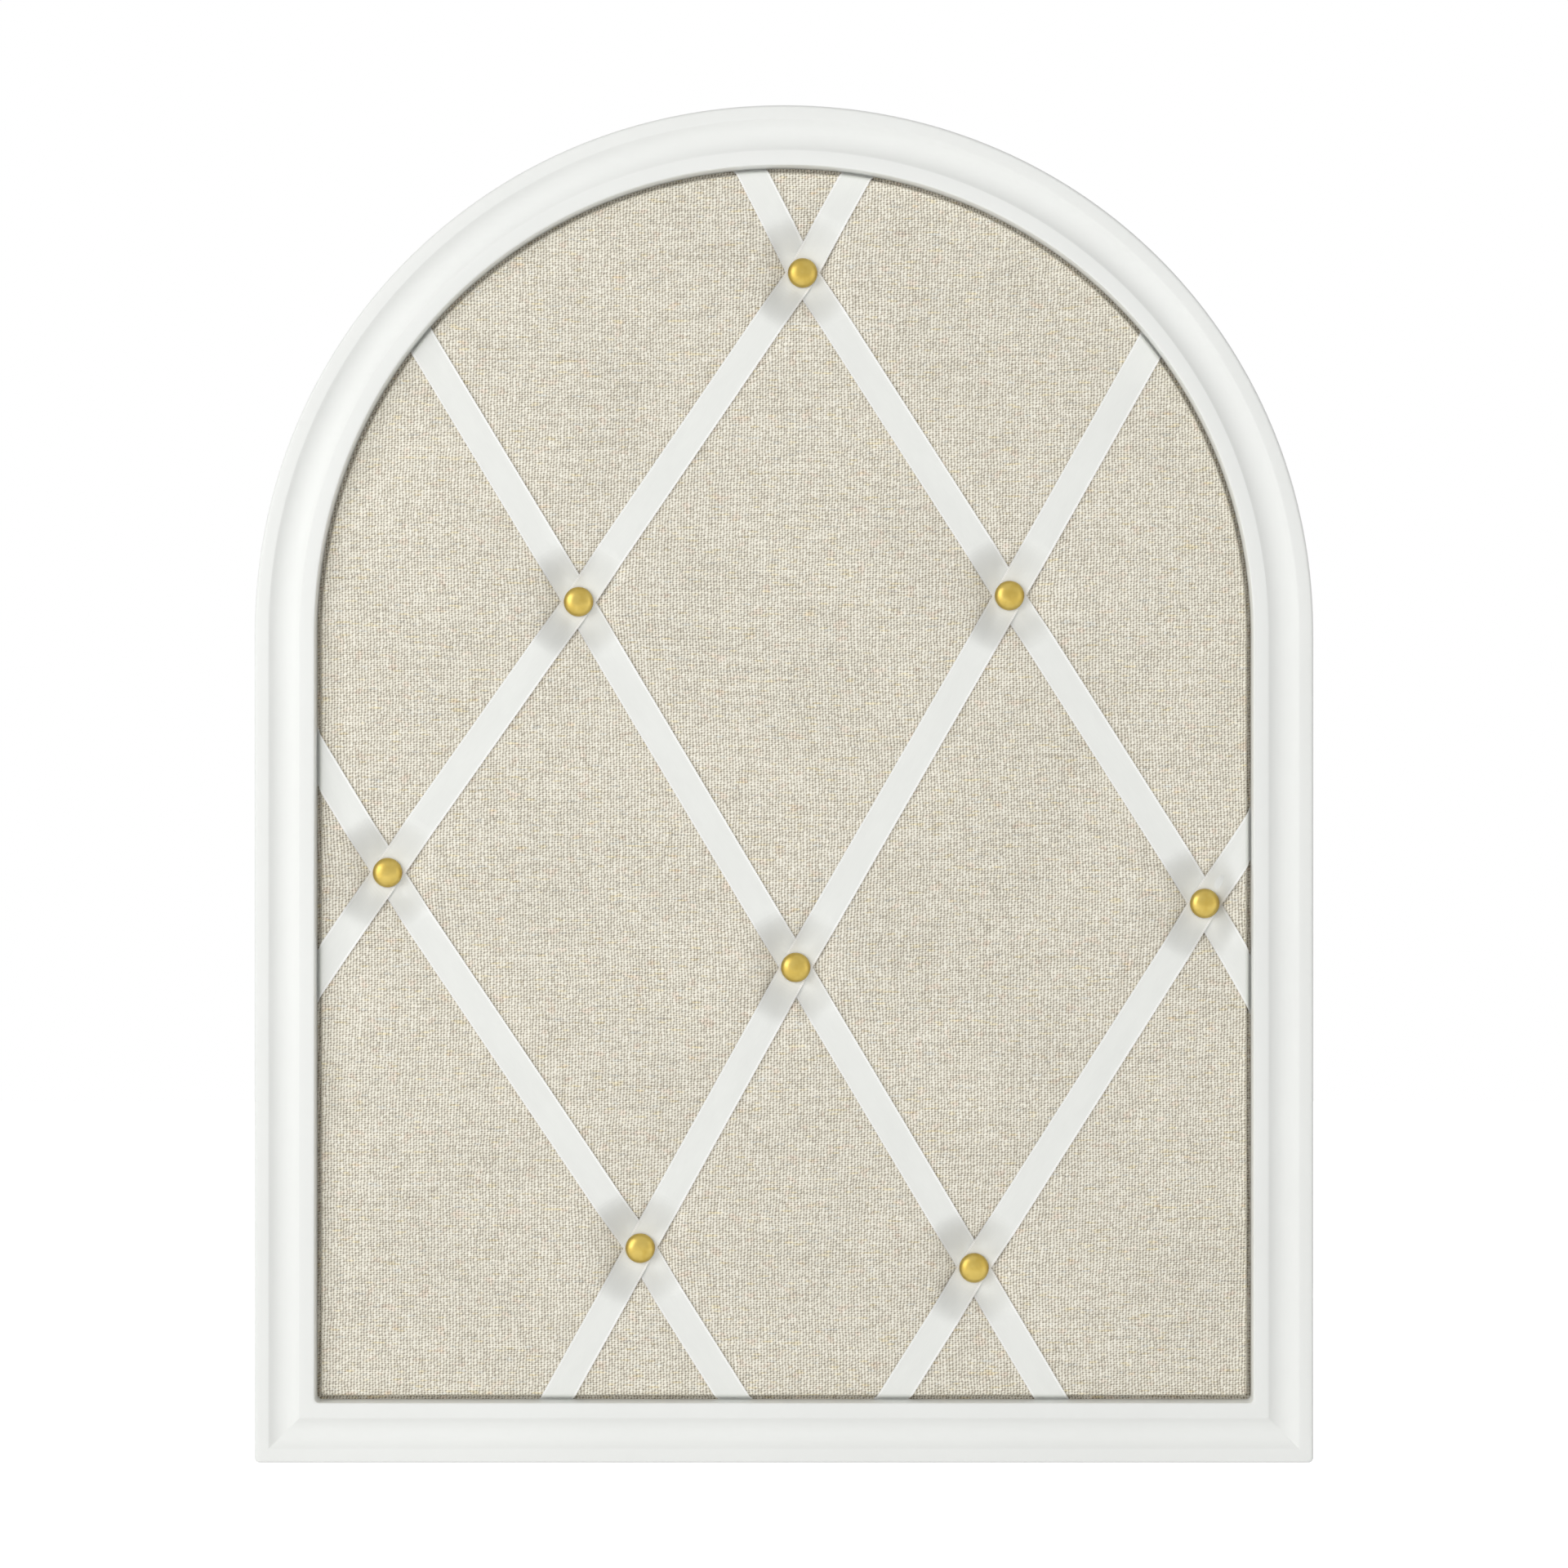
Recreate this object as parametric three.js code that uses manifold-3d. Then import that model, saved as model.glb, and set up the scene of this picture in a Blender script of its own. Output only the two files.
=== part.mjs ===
// French memo board: an arched, lacquered wood frame round a padded, linen-covered panel.
// Satin ribbons cross the panel in a diamond lattice under domed tacks, and cards slip behind them.
// Millimetres, +Z up. The front faces -Y, and the wall is the plane Y = 0.
// The origin lies on the wall, midway between the two hooks that carry the hanger rings.

import * as THREE from "three";
import { mergeVertices } from "three/addons/utils/BufferGeometryUtils.js";
import Module from "manifold-3d";

const wasm = await Module();
wasm.setup();

// Frame: overall size, and the moulding's section from its outer edge to its sight edge
const BOARD_WIDTH = 356;
const BOARD_HEIGHT = 456.5;
const ARCH_FULLNESS = 2.025; // exponent of the arch curve: 2 is a half circle, more fills the shoulders
const MOULDING_WIDTH = 20.2;
const OUTER_BAND = 4.9;
const COVE_WIDTH = 10.2;
const COVE_DEPTH = 2;
const OUTER_EDGE_RADIUS = 1.2;
const SIGHT_EDGE_RADIUS = 0.6;
const LIP_WIDTH = 6.5;
const LIP_THICKNESS = 8.5;
const DOWEL_DIAMETER = 5;
const DOWEL_LENGTH = 24;
const V_NAIL_EDGE = 3.5;
const V_NAIL_THICKNESS = 0.6;
const V_NAIL_HEIGHT = 7;

// Padded panel: backer board, foam, linen
const BOARD_THICKNESS = 5;
const PAD_LOFT = 6;
const PAD_UNDER_LIP = 1.6;
const PAD_AT_TACK = 2.4;
const ROLL_WIDTH = 3.2;
const TUFT_SEAT_MARGIN = 0.3;
const TUFT_FUNNEL = 3.5;
const TUFT_SKIRT = 6;
const TUFT_FUNNEL_SHARE = 0.5; // share of the dip that the funnel takes, the skirt taking the rest
const LINEN_THICKNESS = 0.5;
const HEM_WIDTH = 16;

// Ribbons, tacks and ribbon staples
const RIBBON_WIDTH = 10;
const RIBBON_THICKNESS = 0.3;
const RIBBON_TAIL = 14;
const TACK_DIAMETER = 10;
const TACK_DOME = 3.2;
const TACK_RIM = 0.4;
const TACK_WALL = 0.7;
const TACK_SHANK = 1.6;
const TACK_TIP_COVER = 1.2;
const STAPLE_CROWN = 7.4;
const STAPLE_WIRE = 0.7;
const STAPLE_LEG = 4;

// Hardware on the back: turn buttons, strap hangers, bumpers and their screws
const BUTTON_LENGTH = 20;
const BUTTON_WIDTH = 9;
const BUTTON_THICKNESS = 1.2;
const ARCH_BUTTON_ANGLE = 30; // degrees either side of the crown
const STILE_BUTTON_HEIGHT = 90;
const RAIL_BUTTON_SPREAD = 54;
const STRAP_WIDTH = 7;
const STRAP_LENGTH = 23;
const STRAP_THICKNESS = 1;
const STRAP_CURL = 240; // degrees of the curl that holds the ring
const STRAP_SCREW_DROP = 18;
const HANGER_DROP = 30;
const RING_DROP = 10.5;
const RING_WIRE = 2;
const RING_CORNER = 1.7;
const RING_BUTT_GAP = 0.6;
const SCREW_SHANK = 2.6;
const SCREW_LENGTH = 9;
const SCREW_HEAD = 5.6;
const SCREW_HEAD_HEIGHT = 1.6;
const SCREW_HEAD_RIM = 0.5;
const SCREW_RECESS_LENGTH = 3.4;
const SCREW_RECESS_WIDTH = 0.7;
const SCREW_RECESS_DEPTH = 0.9;
const BUMPER_DIAMETER = 10;
const BUMPER_FACE = 7;
const BUMPER_INSET = 24;

// Clearances
const FIT_GAP = 0.3;
const RIBBON_GAP = 0.45;
const RUNNING_GAP = 0.25;
const PIERCE_GAP = 0.2;
const CUT_OVERSHOOT = 1;

// Share of a short run to the edge after which a ribbon's cuts start to slant
const SLANT_SHARE = 0.8;

// Handle length, as a share of the radius, with which a cubic curve follows a quarter circle
const QUARTER_HANDLE = 0.5523;

// Tolerances and search steps of the geometry
const MERGE_TOLERANCE = 1e-4;
const CIRCLE_TOLERANCE = 1e-9;
const SLIVER_AREA = 1e-3;
const EDGE_SEARCH_STEPS = 8;
const EXIT_SEARCH_STEPS = 40;

// Steps of the faceted curves
const ARCH_STEPS = 40;
const EDGE_STEPS = 2;
const COVE_STEPS = 5;
const SOFT_ARCH_STEPS = 24;
const SOFT_SIDE_STEPS = 6;
const SOFT_BOTTOM_STEPS = 8;
const ROLL_STEPS = 2;
const TUFT_SIDES = 12;
const TURNED_SIDES = 12;
const WIRE_SIDES = 8;
const RING_STEPS = 28;
const CURL_STEPS = 10;
const TACK_DOME_STEPS = 5;
const SCREW_DOME_STEPS = 2;
const BUTTON_END_STEPS = 6;

// Lattice: each tack as [share of the half sight width, share of the sight height from the bottom]
const TACK_SHARES = [
  [0.04, 0.915],
  [-0.44, 0.648],
  [0.483, 0.653],
  [-0.849, 0.428],
  [0.025, 0.351],
  [0.901, 0.403],
  [-0.308, 0.123],
  [0.407, 0.107],
];

// Each ribbon runs from one sight edge through its tacks to another; the ends use the same shares
const RIBBON_ROUTES = [
  { name: "ribbon_rising_left", over: true, from: [-0.996, 0.346], tacks: [3, 1, 0], to: [0.164, 1] },
  { name: "ribbon_rising_middle", over: true, from: [-0.488, 0], tacks: [6, 4, 2], to: [0.79, 0.86] },
  { name: "ribbon_rising_right", over: true, from: [0.23, 0], tacks: [7, 5], to: [1.009, 0.465] },
  { name: "ribbon_falling_left", over: false, from: [-0.996, 0.52], tacks: [3, 6], to: [-0.105, 0] },
  { name: "ribbon_falling_middle", over: false, from: [-0.783, 0.864], tacks: [1, 4, 7], to: [0.574, 0] },
  { name: "ribbon_falling_right", over: false, from: [-0.074, 1], tacks: [0, 2, 5], to: [1, 0.337] },
];

// Lifts of the layers over the foam's surface
const linenInner = FIT_GAP;
const linenOuter = linenInner + LINEN_THICKNESS;
const ribbonInner = linenOuter + RIBBON_GAP;
const ribbonOuter = ribbonInner + RIBBON_THICKNESS;
const crossingRaise = RIBBON_THICKNESS + FIT_GAP;
const tackLift = ribbonOuter + crossingRaise + FIT_GAP;

// Insets from the frame's outer edge
const rabbetInset = MOULDING_WIDTH - LIP_WIDTH;
const landInset = rabbetInset / 2;
const panelInset = rabbetInset + FIT_GAP + ribbonOuter;
const rollEndInset = MOULDING_WIDTH + FIT_GAP + ribbonOuter;
const rollInset = rollEndInset + ROLL_WIDTH;
const hemInset = panelInset + HEM_WIDTH;
const tailInset = hemInset + RIBBON_TAIL;

// Depths behind the frame's front plane
const padUnderLip = LIP_THICKNESS + FIT_GAP + ribbonOuter;
const padBack = padUnderLip + PAD_UNDER_LIP;
const padCrown = padBack - PAD_LOFT;
const padAtTack = padBack - PAD_AT_TACK;
const boardFront = padBack + FIT_GAP;
const boardBack = boardFront + BOARD_THICKNESS;
const mouldingDepth = boardBack + linenOuter;
const hardwareSeat = mouldingDepth + FIT_GAP;
const curlRadius = RING_WIRE / 2 + RUNNING_GAP;
const ringAxisDepth = hardwareSeat + STRAP_THICKNESS + curlRadius;
const wallDepth = ringAxisDepth + curlRadius + STRAP_THICKNESS + FIT_GAP;
const yAt = (depth) => depth - wallDepth;

// Heights: the raised rings bear on their hooks at Z = 0
const pivotZ = RING_WIRE / 2 - RING_DROP;
const springZ = pivotZ + HANGER_DROP;
const archRadius = BOARD_WIDTH / 2;
const bottomZ = springZ + archRadius - BOARD_HEIGHT;
const sightHalf = archRadius - MOULDING_WIDTH;
const sightHeight = BOARD_HEIGHT - 2 * MOULDING_WIDTH;

// Radii of a tuft: flat seat under the tack, funnel, and skirt that meets the crown
const tuftSeat = Math.hypot(TACK_DIAMETER, RIBBON_WIDTH) / 2 + TUFT_SEAT_MARGIN;
const tuftFunnel = tuftSeat + TUFT_FUNNEL;
const tuftRim = tuftFunnel + TUFT_SKIRT;

const fromShares = ([across, up]) => [across * sightHalf, bottomZ + MOULDING_WIDTH + up * sightHeight];
const tackPoints = TACK_SHARES.map(fromShares);

function finish(color, roughness, metalness) {
  return new THREE.MeshStandardMaterial({ color, roughness, metalness });
}

const lacquer = () => finish(0xeef0ec, 0.4, 0);
const bareWood = () => finish(0xc9a878, 0.8, 0);
const fibreboard = () => finish(0x9a7a56, 0.85, 0);
const foam = () => finish(0xf2eed9, 0.95, 0);
const linen = () => finish(0xd9d3c3, 0.95, 0);
const satin = () => finish(0xecede9, 0.45, 0);
const brass = () => finish(0xc2a95f, 0.3, 1);
const steel = () => finish(0xb4b7ba, 0.4, 1);
const rubber = () => finish(0x2a2a2a, 0.9, 0);

function piece(name, geometry, material) {
  const mesh = new THREE.Mesh(geometry, material);
  mesh.name = name;
  return mesh;
}

// Turns every face outwards, by the sign of the enclosed volume
function outward(geometry) {
  const index = geometry.index.array;
  const corner = (i) => new THREE.Vector3().fromBufferAttribute(geometry.attributes.position, index[i]);
  let volume = 0;
  for (let i = 0; i < index.length; i += 3) {
    volume += corner(i).dot(corner(i + 1).cross(corner(i + 2)));
  }
  if (volume < 0) {
    for (let i = 0; i < index.length; i += 3) {
      [index[i], index[i + 1]] = [index[i + 1], index[i]];
    }
  }
  geometry.computeVertexNormals();
  return geometry;
}

function closedGeometry(vertices, faces) {
  const geometry = new THREE.BufferGeometry().setFromPoints(vertices);
  geometry.setIndex(faces.flat());
  return outward(geometry);
}

function toSolid(geometry) {
  const bare = geometry.clone();
  bare.deleteAttribute("normal");
  bare.deleteAttribute("uv");
  const merged = mergeVertices(bare, MERGE_TOLERANCE);
  const index = merged.index.array;
  const triangles = [];
  for (let i = 0; i < index.length; i += 3) {
    const [a, b, c] = index.slice(i, i + 3);
    if (a !== b && b !== c && c !== a) triangles.push(a, b, c);
  }
  const vertProperties = new Float32Array(merged.attributes.position.array);
  const triVerts = new Uint32Array(triangles);
  return new wasm.Manifold(new wasm.Mesh({ numProp: 3, vertProperties, triVerts }));
}

function cut(geometry, tools) {
  const solid = tools.reduce((body, tool) => body.subtract(toSolid(tool)), toSolid(geometry));
  const mesh = solid.getMesh();
  const result = new THREE.BufferGeometry();
  result.setAttribute("position", new THREE.BufferAttribute(mesh.vertProperties, 3));
  result.setIndex(new THREE.BufferAttribute(mesh.triVerts, 1));
  result.computeVertexNormals();
  return result;
}

// A turned piece about the Y axis, from [radius, y] points
function turned(points) {
  const profile = points.map(([radius, y]) => new THREE.Vector2(radius, y));
  return outward(new THREE.LatheGeometry(profile, TURNED_SIDES));
}

// Quarter ellipse of a domed head, from its rim to its crown on the axis, as [radius, y] points
function dome(radius, rimY, crownY, steps) {
  const points = arc([0, 0], 1, 0, Math.PI / 2, steps);
  const profile = points.map(([across, up]) => [radius * across, rimY + (crownY - rimY) * up]);
  profile[steps][0] = 0;
  return profile;
}

// A round hole's tool along Y between two depths
function drill(radius, [x, z], fromDepth, toDepth) {
  const tool = new THREE.CylinderGeometry(radius, radius, toDepth - fromDepth, WIRE_SIDES);
  return tool.translate(x, (yAt(fromDepth) + yAt(toDepth)) / 2, z);
}

// A flat plate from an outline in X and Z, between two depths
function plate(outline, fromDepth, toDepth) {
  const shape = new THREE.Shape(outline.map(([x, z]) => new THREE.Vector2(x, z)));
  const geometry = new THREE.ExtrudeGeometry(shape, { depth: toDepth - fromDepth, bevelEnabled: false });
  return geometry.rotateX(Math.PI / 2).translate(0, yAt(toDepth), 0);
}

function arc(centre, radius, start, end, steps) {
  return Array.from({ length: steps + 1 }, (_, i) => {
    const angle = start + ((end - start) * i) / steps;
    return [centre[0] + radius * Math.cos(angle), centre[1] + radius * Math.sin(angle)];
  });
}

// The turn about Y that points a piece's X axis along a direction in X and Z
const turnTo = ([x, z]) => Math.atan2(-z, x);

// Outline of the board: a station holds an outer point and how that point moves for each mm of inset
const inset = (station, amount) => [station.x + amount * station.vx, station.z + amount * station.vz];

const cornerLeft = { x: -archRadius, z: bottomZ, vx: 1, vz: 1 };
const cornerRight = { x: archRadius, z: bottomZ, vx: -1, vz: 1 };
const springLeft = { x: -archRadius, z: springZ, vx: 1, vz: 0 };
const springRight = { x: archRadius, z: springZ, vx: -1, vz: 0 };

function archStation(angle) {
  const cosine = Math.cos(angle);
  const sine = Math.max(Math.sin(angle), 0);
  const across = Math.sign(cosine) * Math.abs(cosine) ** (2 / ARCH_FULLNESS);
  const up = sine ** (2 / ARCH_FULLNESS);
  const slopeX = Math.sign(across) * Math.abs(across) ** (ARCH_FULLNESS - 1);
  const slopeZ = up ** (ARCH_FULLNESS - 1);
  const length = Math.hypot(slopeX, slopeZ);
  return {
    x: archRadius * across,
    z: springZ + archRadius * up,
    vx: -slopeX / length,
    vz: -slopeZ / length,
  };
}

function between(a, b, share) {
  const mix = (key) => a[key] + (b[key] - a[key]) * share;
  return { x: mix("x"), z: mix("z"), vx: mix("vx"), vz: mix("vz") };
}

// The whole outline from the bottom left corner, anticlockwise from the front
function outlineStations(bottomSteps, sideSteps, archSteps) {
  const stations = [];
  for (let i = 0; i < bottomSteps; i += 1) stations.push(between(cornerLeft, cornerRight, i / bottomSteps));
  for (let i = 0; i < sideSteps; i += 1) stations.push(between(cornerRight, springRight, i / sideSteps));
  for (let i = 0; i <= archSteps; i += 1) stations.push(archStation((Math.PI * i) / archSteps));
  for (let i = 1; i < sideSteps; i += 1) stations.push(between(springLeft, cornerLeft, i / sideSteps));
  return stations;
}

// The nearest edge of the outline: its inset there, its directions, and points along it
function edgeAt(x, z) {
  if (z > springZ) {
    let angle = Math.atan2(z - springZ, x);
    let station = archStation(angle);
    for (let i = 0; i < EDGE_SEARCH_STEPS; i += 1) {
      const slip = (x - station.x) * station.vz - (z - station.z) * station.vx;
      angle += slip / archRadius;
      station = archStation(angle);
    }
    return {
      inset: (x - station.x) * station.vx + (z - station.z) * station.vz,
      outward: [-station.vx, -station.vz],
      along: [station.vz, -station.vx],
      place: (shift, amount) => inset(archStation(angle + shift / (archRadius - rollInset)), amount),
    };
  }
  const edges = [
    {
      inset: x + archRadius,
      outward: [-1, 0],
      along: [0, 1],
      place: (shift, amount) => [amount - archRadius, z + shift],
    },
    {
      inset: archRadius - x,
      outward: [1, 0],
      along: [0, 1],
      place: (shift, amount) => [archRadius - amount, z + shift],
    },
    {
      inset: z - bottomZ,
      outward: [0, -1],
      along: [1, 0],
      place: (shift, amount) => [x + shift, bottomZ + amount],
    },
  ];
  return edges.reduce((nearest, edge) => (edge.inset < nearest.inset ? edge : nearest));
}

// Frame members: the moulding's section as [inset, depth] points, carried from station to station
function mouldingSection() {
  const coveRadius = (COVE_WIDTH ** 2 / 4 + COVE_DEPTH ** 2) / (2 * COVE_DEPTH);
  const coveCentre = [OUTER_BAND + COVE_WIDTH / 2, COVE_DEPTH - coveRadius];
  const coveHalf = Math.asin(COVE_WIDTH / 2 / coveRadius);
  const outerCentre = [OUTER_EDGE_RADIUS, OUTER_EDGE_RADIUS];
  const sightCentre = [MOULDING_WIDTH - SIGHT_EDGE_RADIUS, SIGHT_EDGE_RADIUS];
  return [
    [0, mouldingDepth],
    ...arc(outerCentre, OUTER_EDGE_RADIUS, Math.PI, 1.5 * Math.PI, EDGE_STEPS),
    ...arc(coveCentre, coveRadius, Math.PI / 2 + coveHalf, Math.PI / 2 - coveHalf, COVE_STEPS),
    ...arc(sightCentre, SIGHT_EDGE_RADIUS, 1.5 * Math.PI, 2 * Math.PI, EDGE_STEPS),
    [MOULDING_WIDTH, LIP_THICKNESS],
    [rabbetInset, LIP_THICKNESS],
    [rabbetInset, mouldingDepth],
  ];
}

function moulding(stations) {
  const section = mouldingSection();
  const count = section.length;
  const vertices = stations.flatMap((station) =>
    section.map(([amount, depth]) => {
      const [x, z] = inset(station, amount);
      return new THREE.Vector3(x, yAt(depth), z);
    }),
  );
  const faces = [];
  for (let s = 0; s + 1 < stations.length; s += 1) {
    for (let i = 0; i < count; i += 1) {
      const a = s * count + i;
      const b = s * count + ((i + 1) % count);
      faces.push([a, b, b + count], [a, b + count, a + count]);
    }
  }
  const last = (stations.length - 1) * count;
  const cap = THREE.ShapeUtils.triangulateShape(
    section.map(([amount, depth]) => new THREE.Vector2(amount, depth)),
    [],
  );
  const turn = THREE.ShapeUtils.area(section.map(([x, y]) => new THREE.Vector2(x, y))) > 0;
  cap.forEach(([a, b, c]) => {
    faces.push(turn ? [c, b, a] : [a, b, c]);
    faces.push(turn ? [last + a, last + b, last + c] : [last + c, last + b, last + a]);
  });
  return closedGeometry(vertices, faces);
}

// V-nail: an L seen from the back, its corner on the mitre and one leg in each member
function vNailOutline(side, gap) {
  const leg = rabbetInset - 2 * V_NAIL_EDGE + gap;
  const thickness = V_NAIL_THICKNESS + gap;
  const corner = [archRadius - V_NAIL_EDGE, bottomZ + V_NAIL_EDGE];
  const points = [
    [-gap, -gap],
    [leg, -gap],
    [leg, thickness],
    [thickness, thickness],
    [thickness, leg],
    [-gap, leg],
  ];
  return points.map(([x, z]) => [side * (corner[0] - x), corner[1] + z]);
}

function dowel(side, gap) {
  const radius = DOWEL_DIAMETER / 2 + gap;
  const length = DOWEL_LENGTH + 2 * gap;
  const depth = (LIP_THICKNESS + mouldingDepth) / 2 - DOWEL_DIAMETER / 2;
  const pin = new THREE.CylinderGeometry(radius, radius, length, TURNED_SIDES).rotateX(Math.PI / 2);
  return pin.translate(side * (archRadius - landInset), yAt(depth), springZ);
}

// Where the turn buttons pivot, and which way they point: over the panel's edge
function buttonPlaces() {
  const onArch = (degrees) => archStation(THREE.MathUtils.degToRad(90 + degrees));
  const onStile = (side) => ({ x: side * archRadius, z: bottomZ + STILE_BUTTON_HEIGHT, vx: -side, vz: 0 });
  const onRail = (side) => ({ x: side * RAIL_BUTTON_SPREAD, z: bottomZ, vx: 0, vz: 1 });
  return [
    { name: "arch_left", station: onArch(ARCH_BUTTON_ANGLE) },
    { name: "arch_right", station: onArch(-ARCH_BUTTON_ANGLE) },
    { name: "stile_left", station: onStile(-1) },
    { name: "stile_right", station: onStile(1) },
    { name: "rail_left", station: onRail(-1) },
    { name: "rail_right", station: onRail(1) },
  ].map((place) => ({ ...place, pivot: inset(place.station, landInset) }));
}

const buttons = buttonPlaces();
const hangerPivot = (side) => [side * (archRadius - landInset), pivotZ];
const hangerScrew = (side) => [side * (archRadius - landInset), pivotZ - STRAP_SCREW_DROP];
const tipDepth = (headDepth) => headDepth - SCREW_LENGTH;
const buttonHeadDepth = hardwareSeat + BUTTON_THICKNESS + FIT_GAP;
const strapHeadDepth = hardwareSeat + STRAP_THICKNESS + FIT_GAP;

function screwHole(place, headDepth) {
  const bottom = tipDepth(headDepth) - PIERCE_GAP;
  return drill(SCREW_SHANK / 2 + PIERCE_GAP, place, bottom, mouldingDepth + CUT_OVERSHOOT);
}

function buildFrame() {
  const frame = new THREE.Group();
  const buttonHoles = (member) => {
    const onMember = buttons.filter(({ name }) => name.startsWith(member));
    return onMember.map(({ pivot }) => screwHole(pivot, buttonHeadDepth));
  };
  const nailBack = mouldingDepth - FIT_GAP;
  const nailFront = nailBack - V_NAIL_HEIGHT;
  const nailPocket = (side) =>
    plate(vNailOutline(side, PIERCE_GAP), nailFront - PIERCE_GAP, mouldingDepth + CUT_OVERSHOOT);

  const archAngles = Array.from({ length: ARCH_STEPS + 1 }, (_, i) => (Math.PI * i) / ARCH_STEPS);
  const arch = moulding(archAngles.map(archStation));
  const dowelHoles = [-1, 1].map((side) => dowel(side, PIERCE_GAP));
  frame.add(piece("frame_arch", cut(arch, [...dowelHoles, ...buttonHoles("arch")]), lacquer()));

  const rail = moulding([cornerLeft, cornerRight]);
  const railCuts = [nailPocket(-1), nailPocket(1), ...buttonHoles("rail")];
  frame.add(piece("frame_bottom_rail", cut(rail, railCuts), lacquer()));

  const stiles = [
    { hand: "left", side: -1, stations: [springLeft, cornerLeft] },
    { hand: "right", side: 1, stations: [cornerRight, springRight] },
  ];
  stiles.forEach(({ hand, side, stations }) => {
    const cuts = [
      dowel(side, PIERCE_GAP),
      nailPocket(side),
      screwHole(hangerScrew(side), strapHeadDepth),
      ...buttonHoles(`stile_${hand}`),
    ];
    frame.add(piece(`frame_stile_${hand}`, cut(moulding(stations), cuts), lacquer()));
    frame.add(piece(`arch_dowel_${hand}`, dowel(side, 0), bareWood()));
    const nail = plate(vNailOutline(side, 0), nailFront, nailBack);
    frame.add(piece(`mitre_v_nail_${hand}`, nail, steel()));
  });
  return frame;
}

// Foam surface: a flat crown that dips to each tack in a funnel with a wide skirt
function tuftShare(radius) {
  if (radius <= tuftSeat) return 1;
  if (radius <= tuftFunnel) return 1 - (TUFT_FUNNEL_SHARE * (radius - tuftSeat)) / TUFT_FUNNEL;
  return Math.max(0, ((1 - TUFT_FUNNEL_SHARE) * (tuftRim - radius)) / TUFT_SKIRT);
}

function padFront(x, z) {
  const shares = tackPoints.map(([tackX, tackZ]) => tuftShare(Math.hypot(x - tackX, z - tackZ)));
  return padCrown + Math.max(...shares) * (padAtTack - padCrown);
}

// Delaunay triangles of points whose hull is the whole face, wound anticlockwise
function triangulate(points) {
  const far = 1e5;
  const all = [...points, [-far, -far], [far, -far], [0, far]];
  const count = points.length;
  const inCircle = ([a, b, c], [x, z]) => {
    const rows = [a, b, c].map((i) => [all[i][0] - x, all[i][1] - z]);
    const [[ax, az], [bx, bz], [cx, cz]] = rows;
    const [a2, b2, c2] = rows.map(([dx, dz]) => dx * dx + dz * dz);
    const inside = ax * (bz * c2 - cz * b2) - az * (bx * c2 - cx * b2) + a2 * (bx * cz - cx * bz);
    return inside > CIRCLE_TOLERANCE;
  };
  let triangles = [[count, count + 1, count + 2]];
  points.forEach((point, i) => {
    const rim = new Map();
    triangles = triangles.filter((triangle) => {
      if (!inCircle(triangle, point)) return true;
      triangle.forEach((a, k) => {
        const b = triangle[(k + 1) % 3];
        const key = Math.min(a, b) * all.length + Math.max(a, b);
        if (!rim.delete(key)) rim.set(key, [a, b]);
      });
      return false;
    });
    rim.forEach(([a, b]) => triangles.push([a, b, i]));
  });
  const area = ([a, b, c]) =>
    (all[b][0] - all[a][0]) * (all[c][1] - all[a][1]) - (all[c][0] - all[a][0]) * (all[b][1] - all[a][1]);
  return triangles.filter((triangle) => triangle.every((i) => i < count) && area(triangle) > SLIVER_AREA);
}

// Plan of the padded face: the loop where its edge starts to roll over, and rings round each tack
function buildFacePlan() {
  const stations = outlineStations(SOFT_BOTTOM_STEPS, SOFT_SIDE_STEPS, SOFT_ARCH_STEPS);
  const points = stations.map((station) => inset(station, rollInset));
  const clearOfLoop = ([x, z]) => edgeAt(x, z).inset > rollInset + FIT_GAP;
  tackPoints.forEach((centre) => {
    points.push(centre);
    [tuftSeat, tuftFunnel, tuftRim].forEach((radius, ring) => {
      const start = (ring * Math.PI) / TUFT_SIDES;
      const ringPoints = arc(centre, radius, start, start + 2 * Math.PI, TUFT_SIDES).slice(1);
      points.push(...ringPoints.filter(clearOfLoop));
    });
  });
  const depths = points.map(([x, z]) => padFront(x, z));
  return { stations, points, depths, triangles: triangulate(points) };
}

const facePlan = buildFacePlan();

// Depth of the foam's facets under a point: the triangle that holds it best is interpolated
function faceDepth(x, z) {
  let best = { margin: -Infinity, depth: padCrown };
  facePlan.triangles.forEach((triangle) => {
    const [[ax, az], [bx, bz], [cx, cz]] = triangle.map((i) => facePlan.points[i]);
    const area = (bx - ax) * (cz - az) - (cx - ax) * (bz - az);
    const atB = ((x - ax) * (cz - az) - (cx - ax) * (z - az)) / area;
    const atC = ((bx - ax) * (z - az) - (x - ax) * (bz - az)) / area;
    const atA = 1 - atB - atC;
    const margin = Math.min(atA, atB, atC);
    if (margin <= best.margin) return;
    const [a, b, c] = triangle.map((i) => facePlan.depths[i]);
    best = { margin, depth: atA * a + atB * b + atC * c };
  });
  return best.depth;
}

// Edge of a layer, from the face over the roll, under the lip and round the board, as [inset, depth]
function edgePath(lift, crown) {
  const reach = ROLL_WIDTH + lift;
  const rise = padUnderLip - crown + lift;
  const rollEnd = Math.acos(lift / rise);
  const path = Array.from({ length: ROLL_STEPS + 1 }, (_, i) => {
    const angle = (rollEnd * i) / ROLL_STEPS;
    return [rollInset - reach * Math.sin(angle), padUnderLip - rise * Math.cos(angle)];
  });
  path.push([panelInset - lift, padUnderLip - lift]);
  return path;
}

function coverPath(lift, crown) {
  return [...edgePath(lift, crown), [panelInset - lift, boardBack + lift], [hemInset, boardBack + lift]];
}

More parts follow.
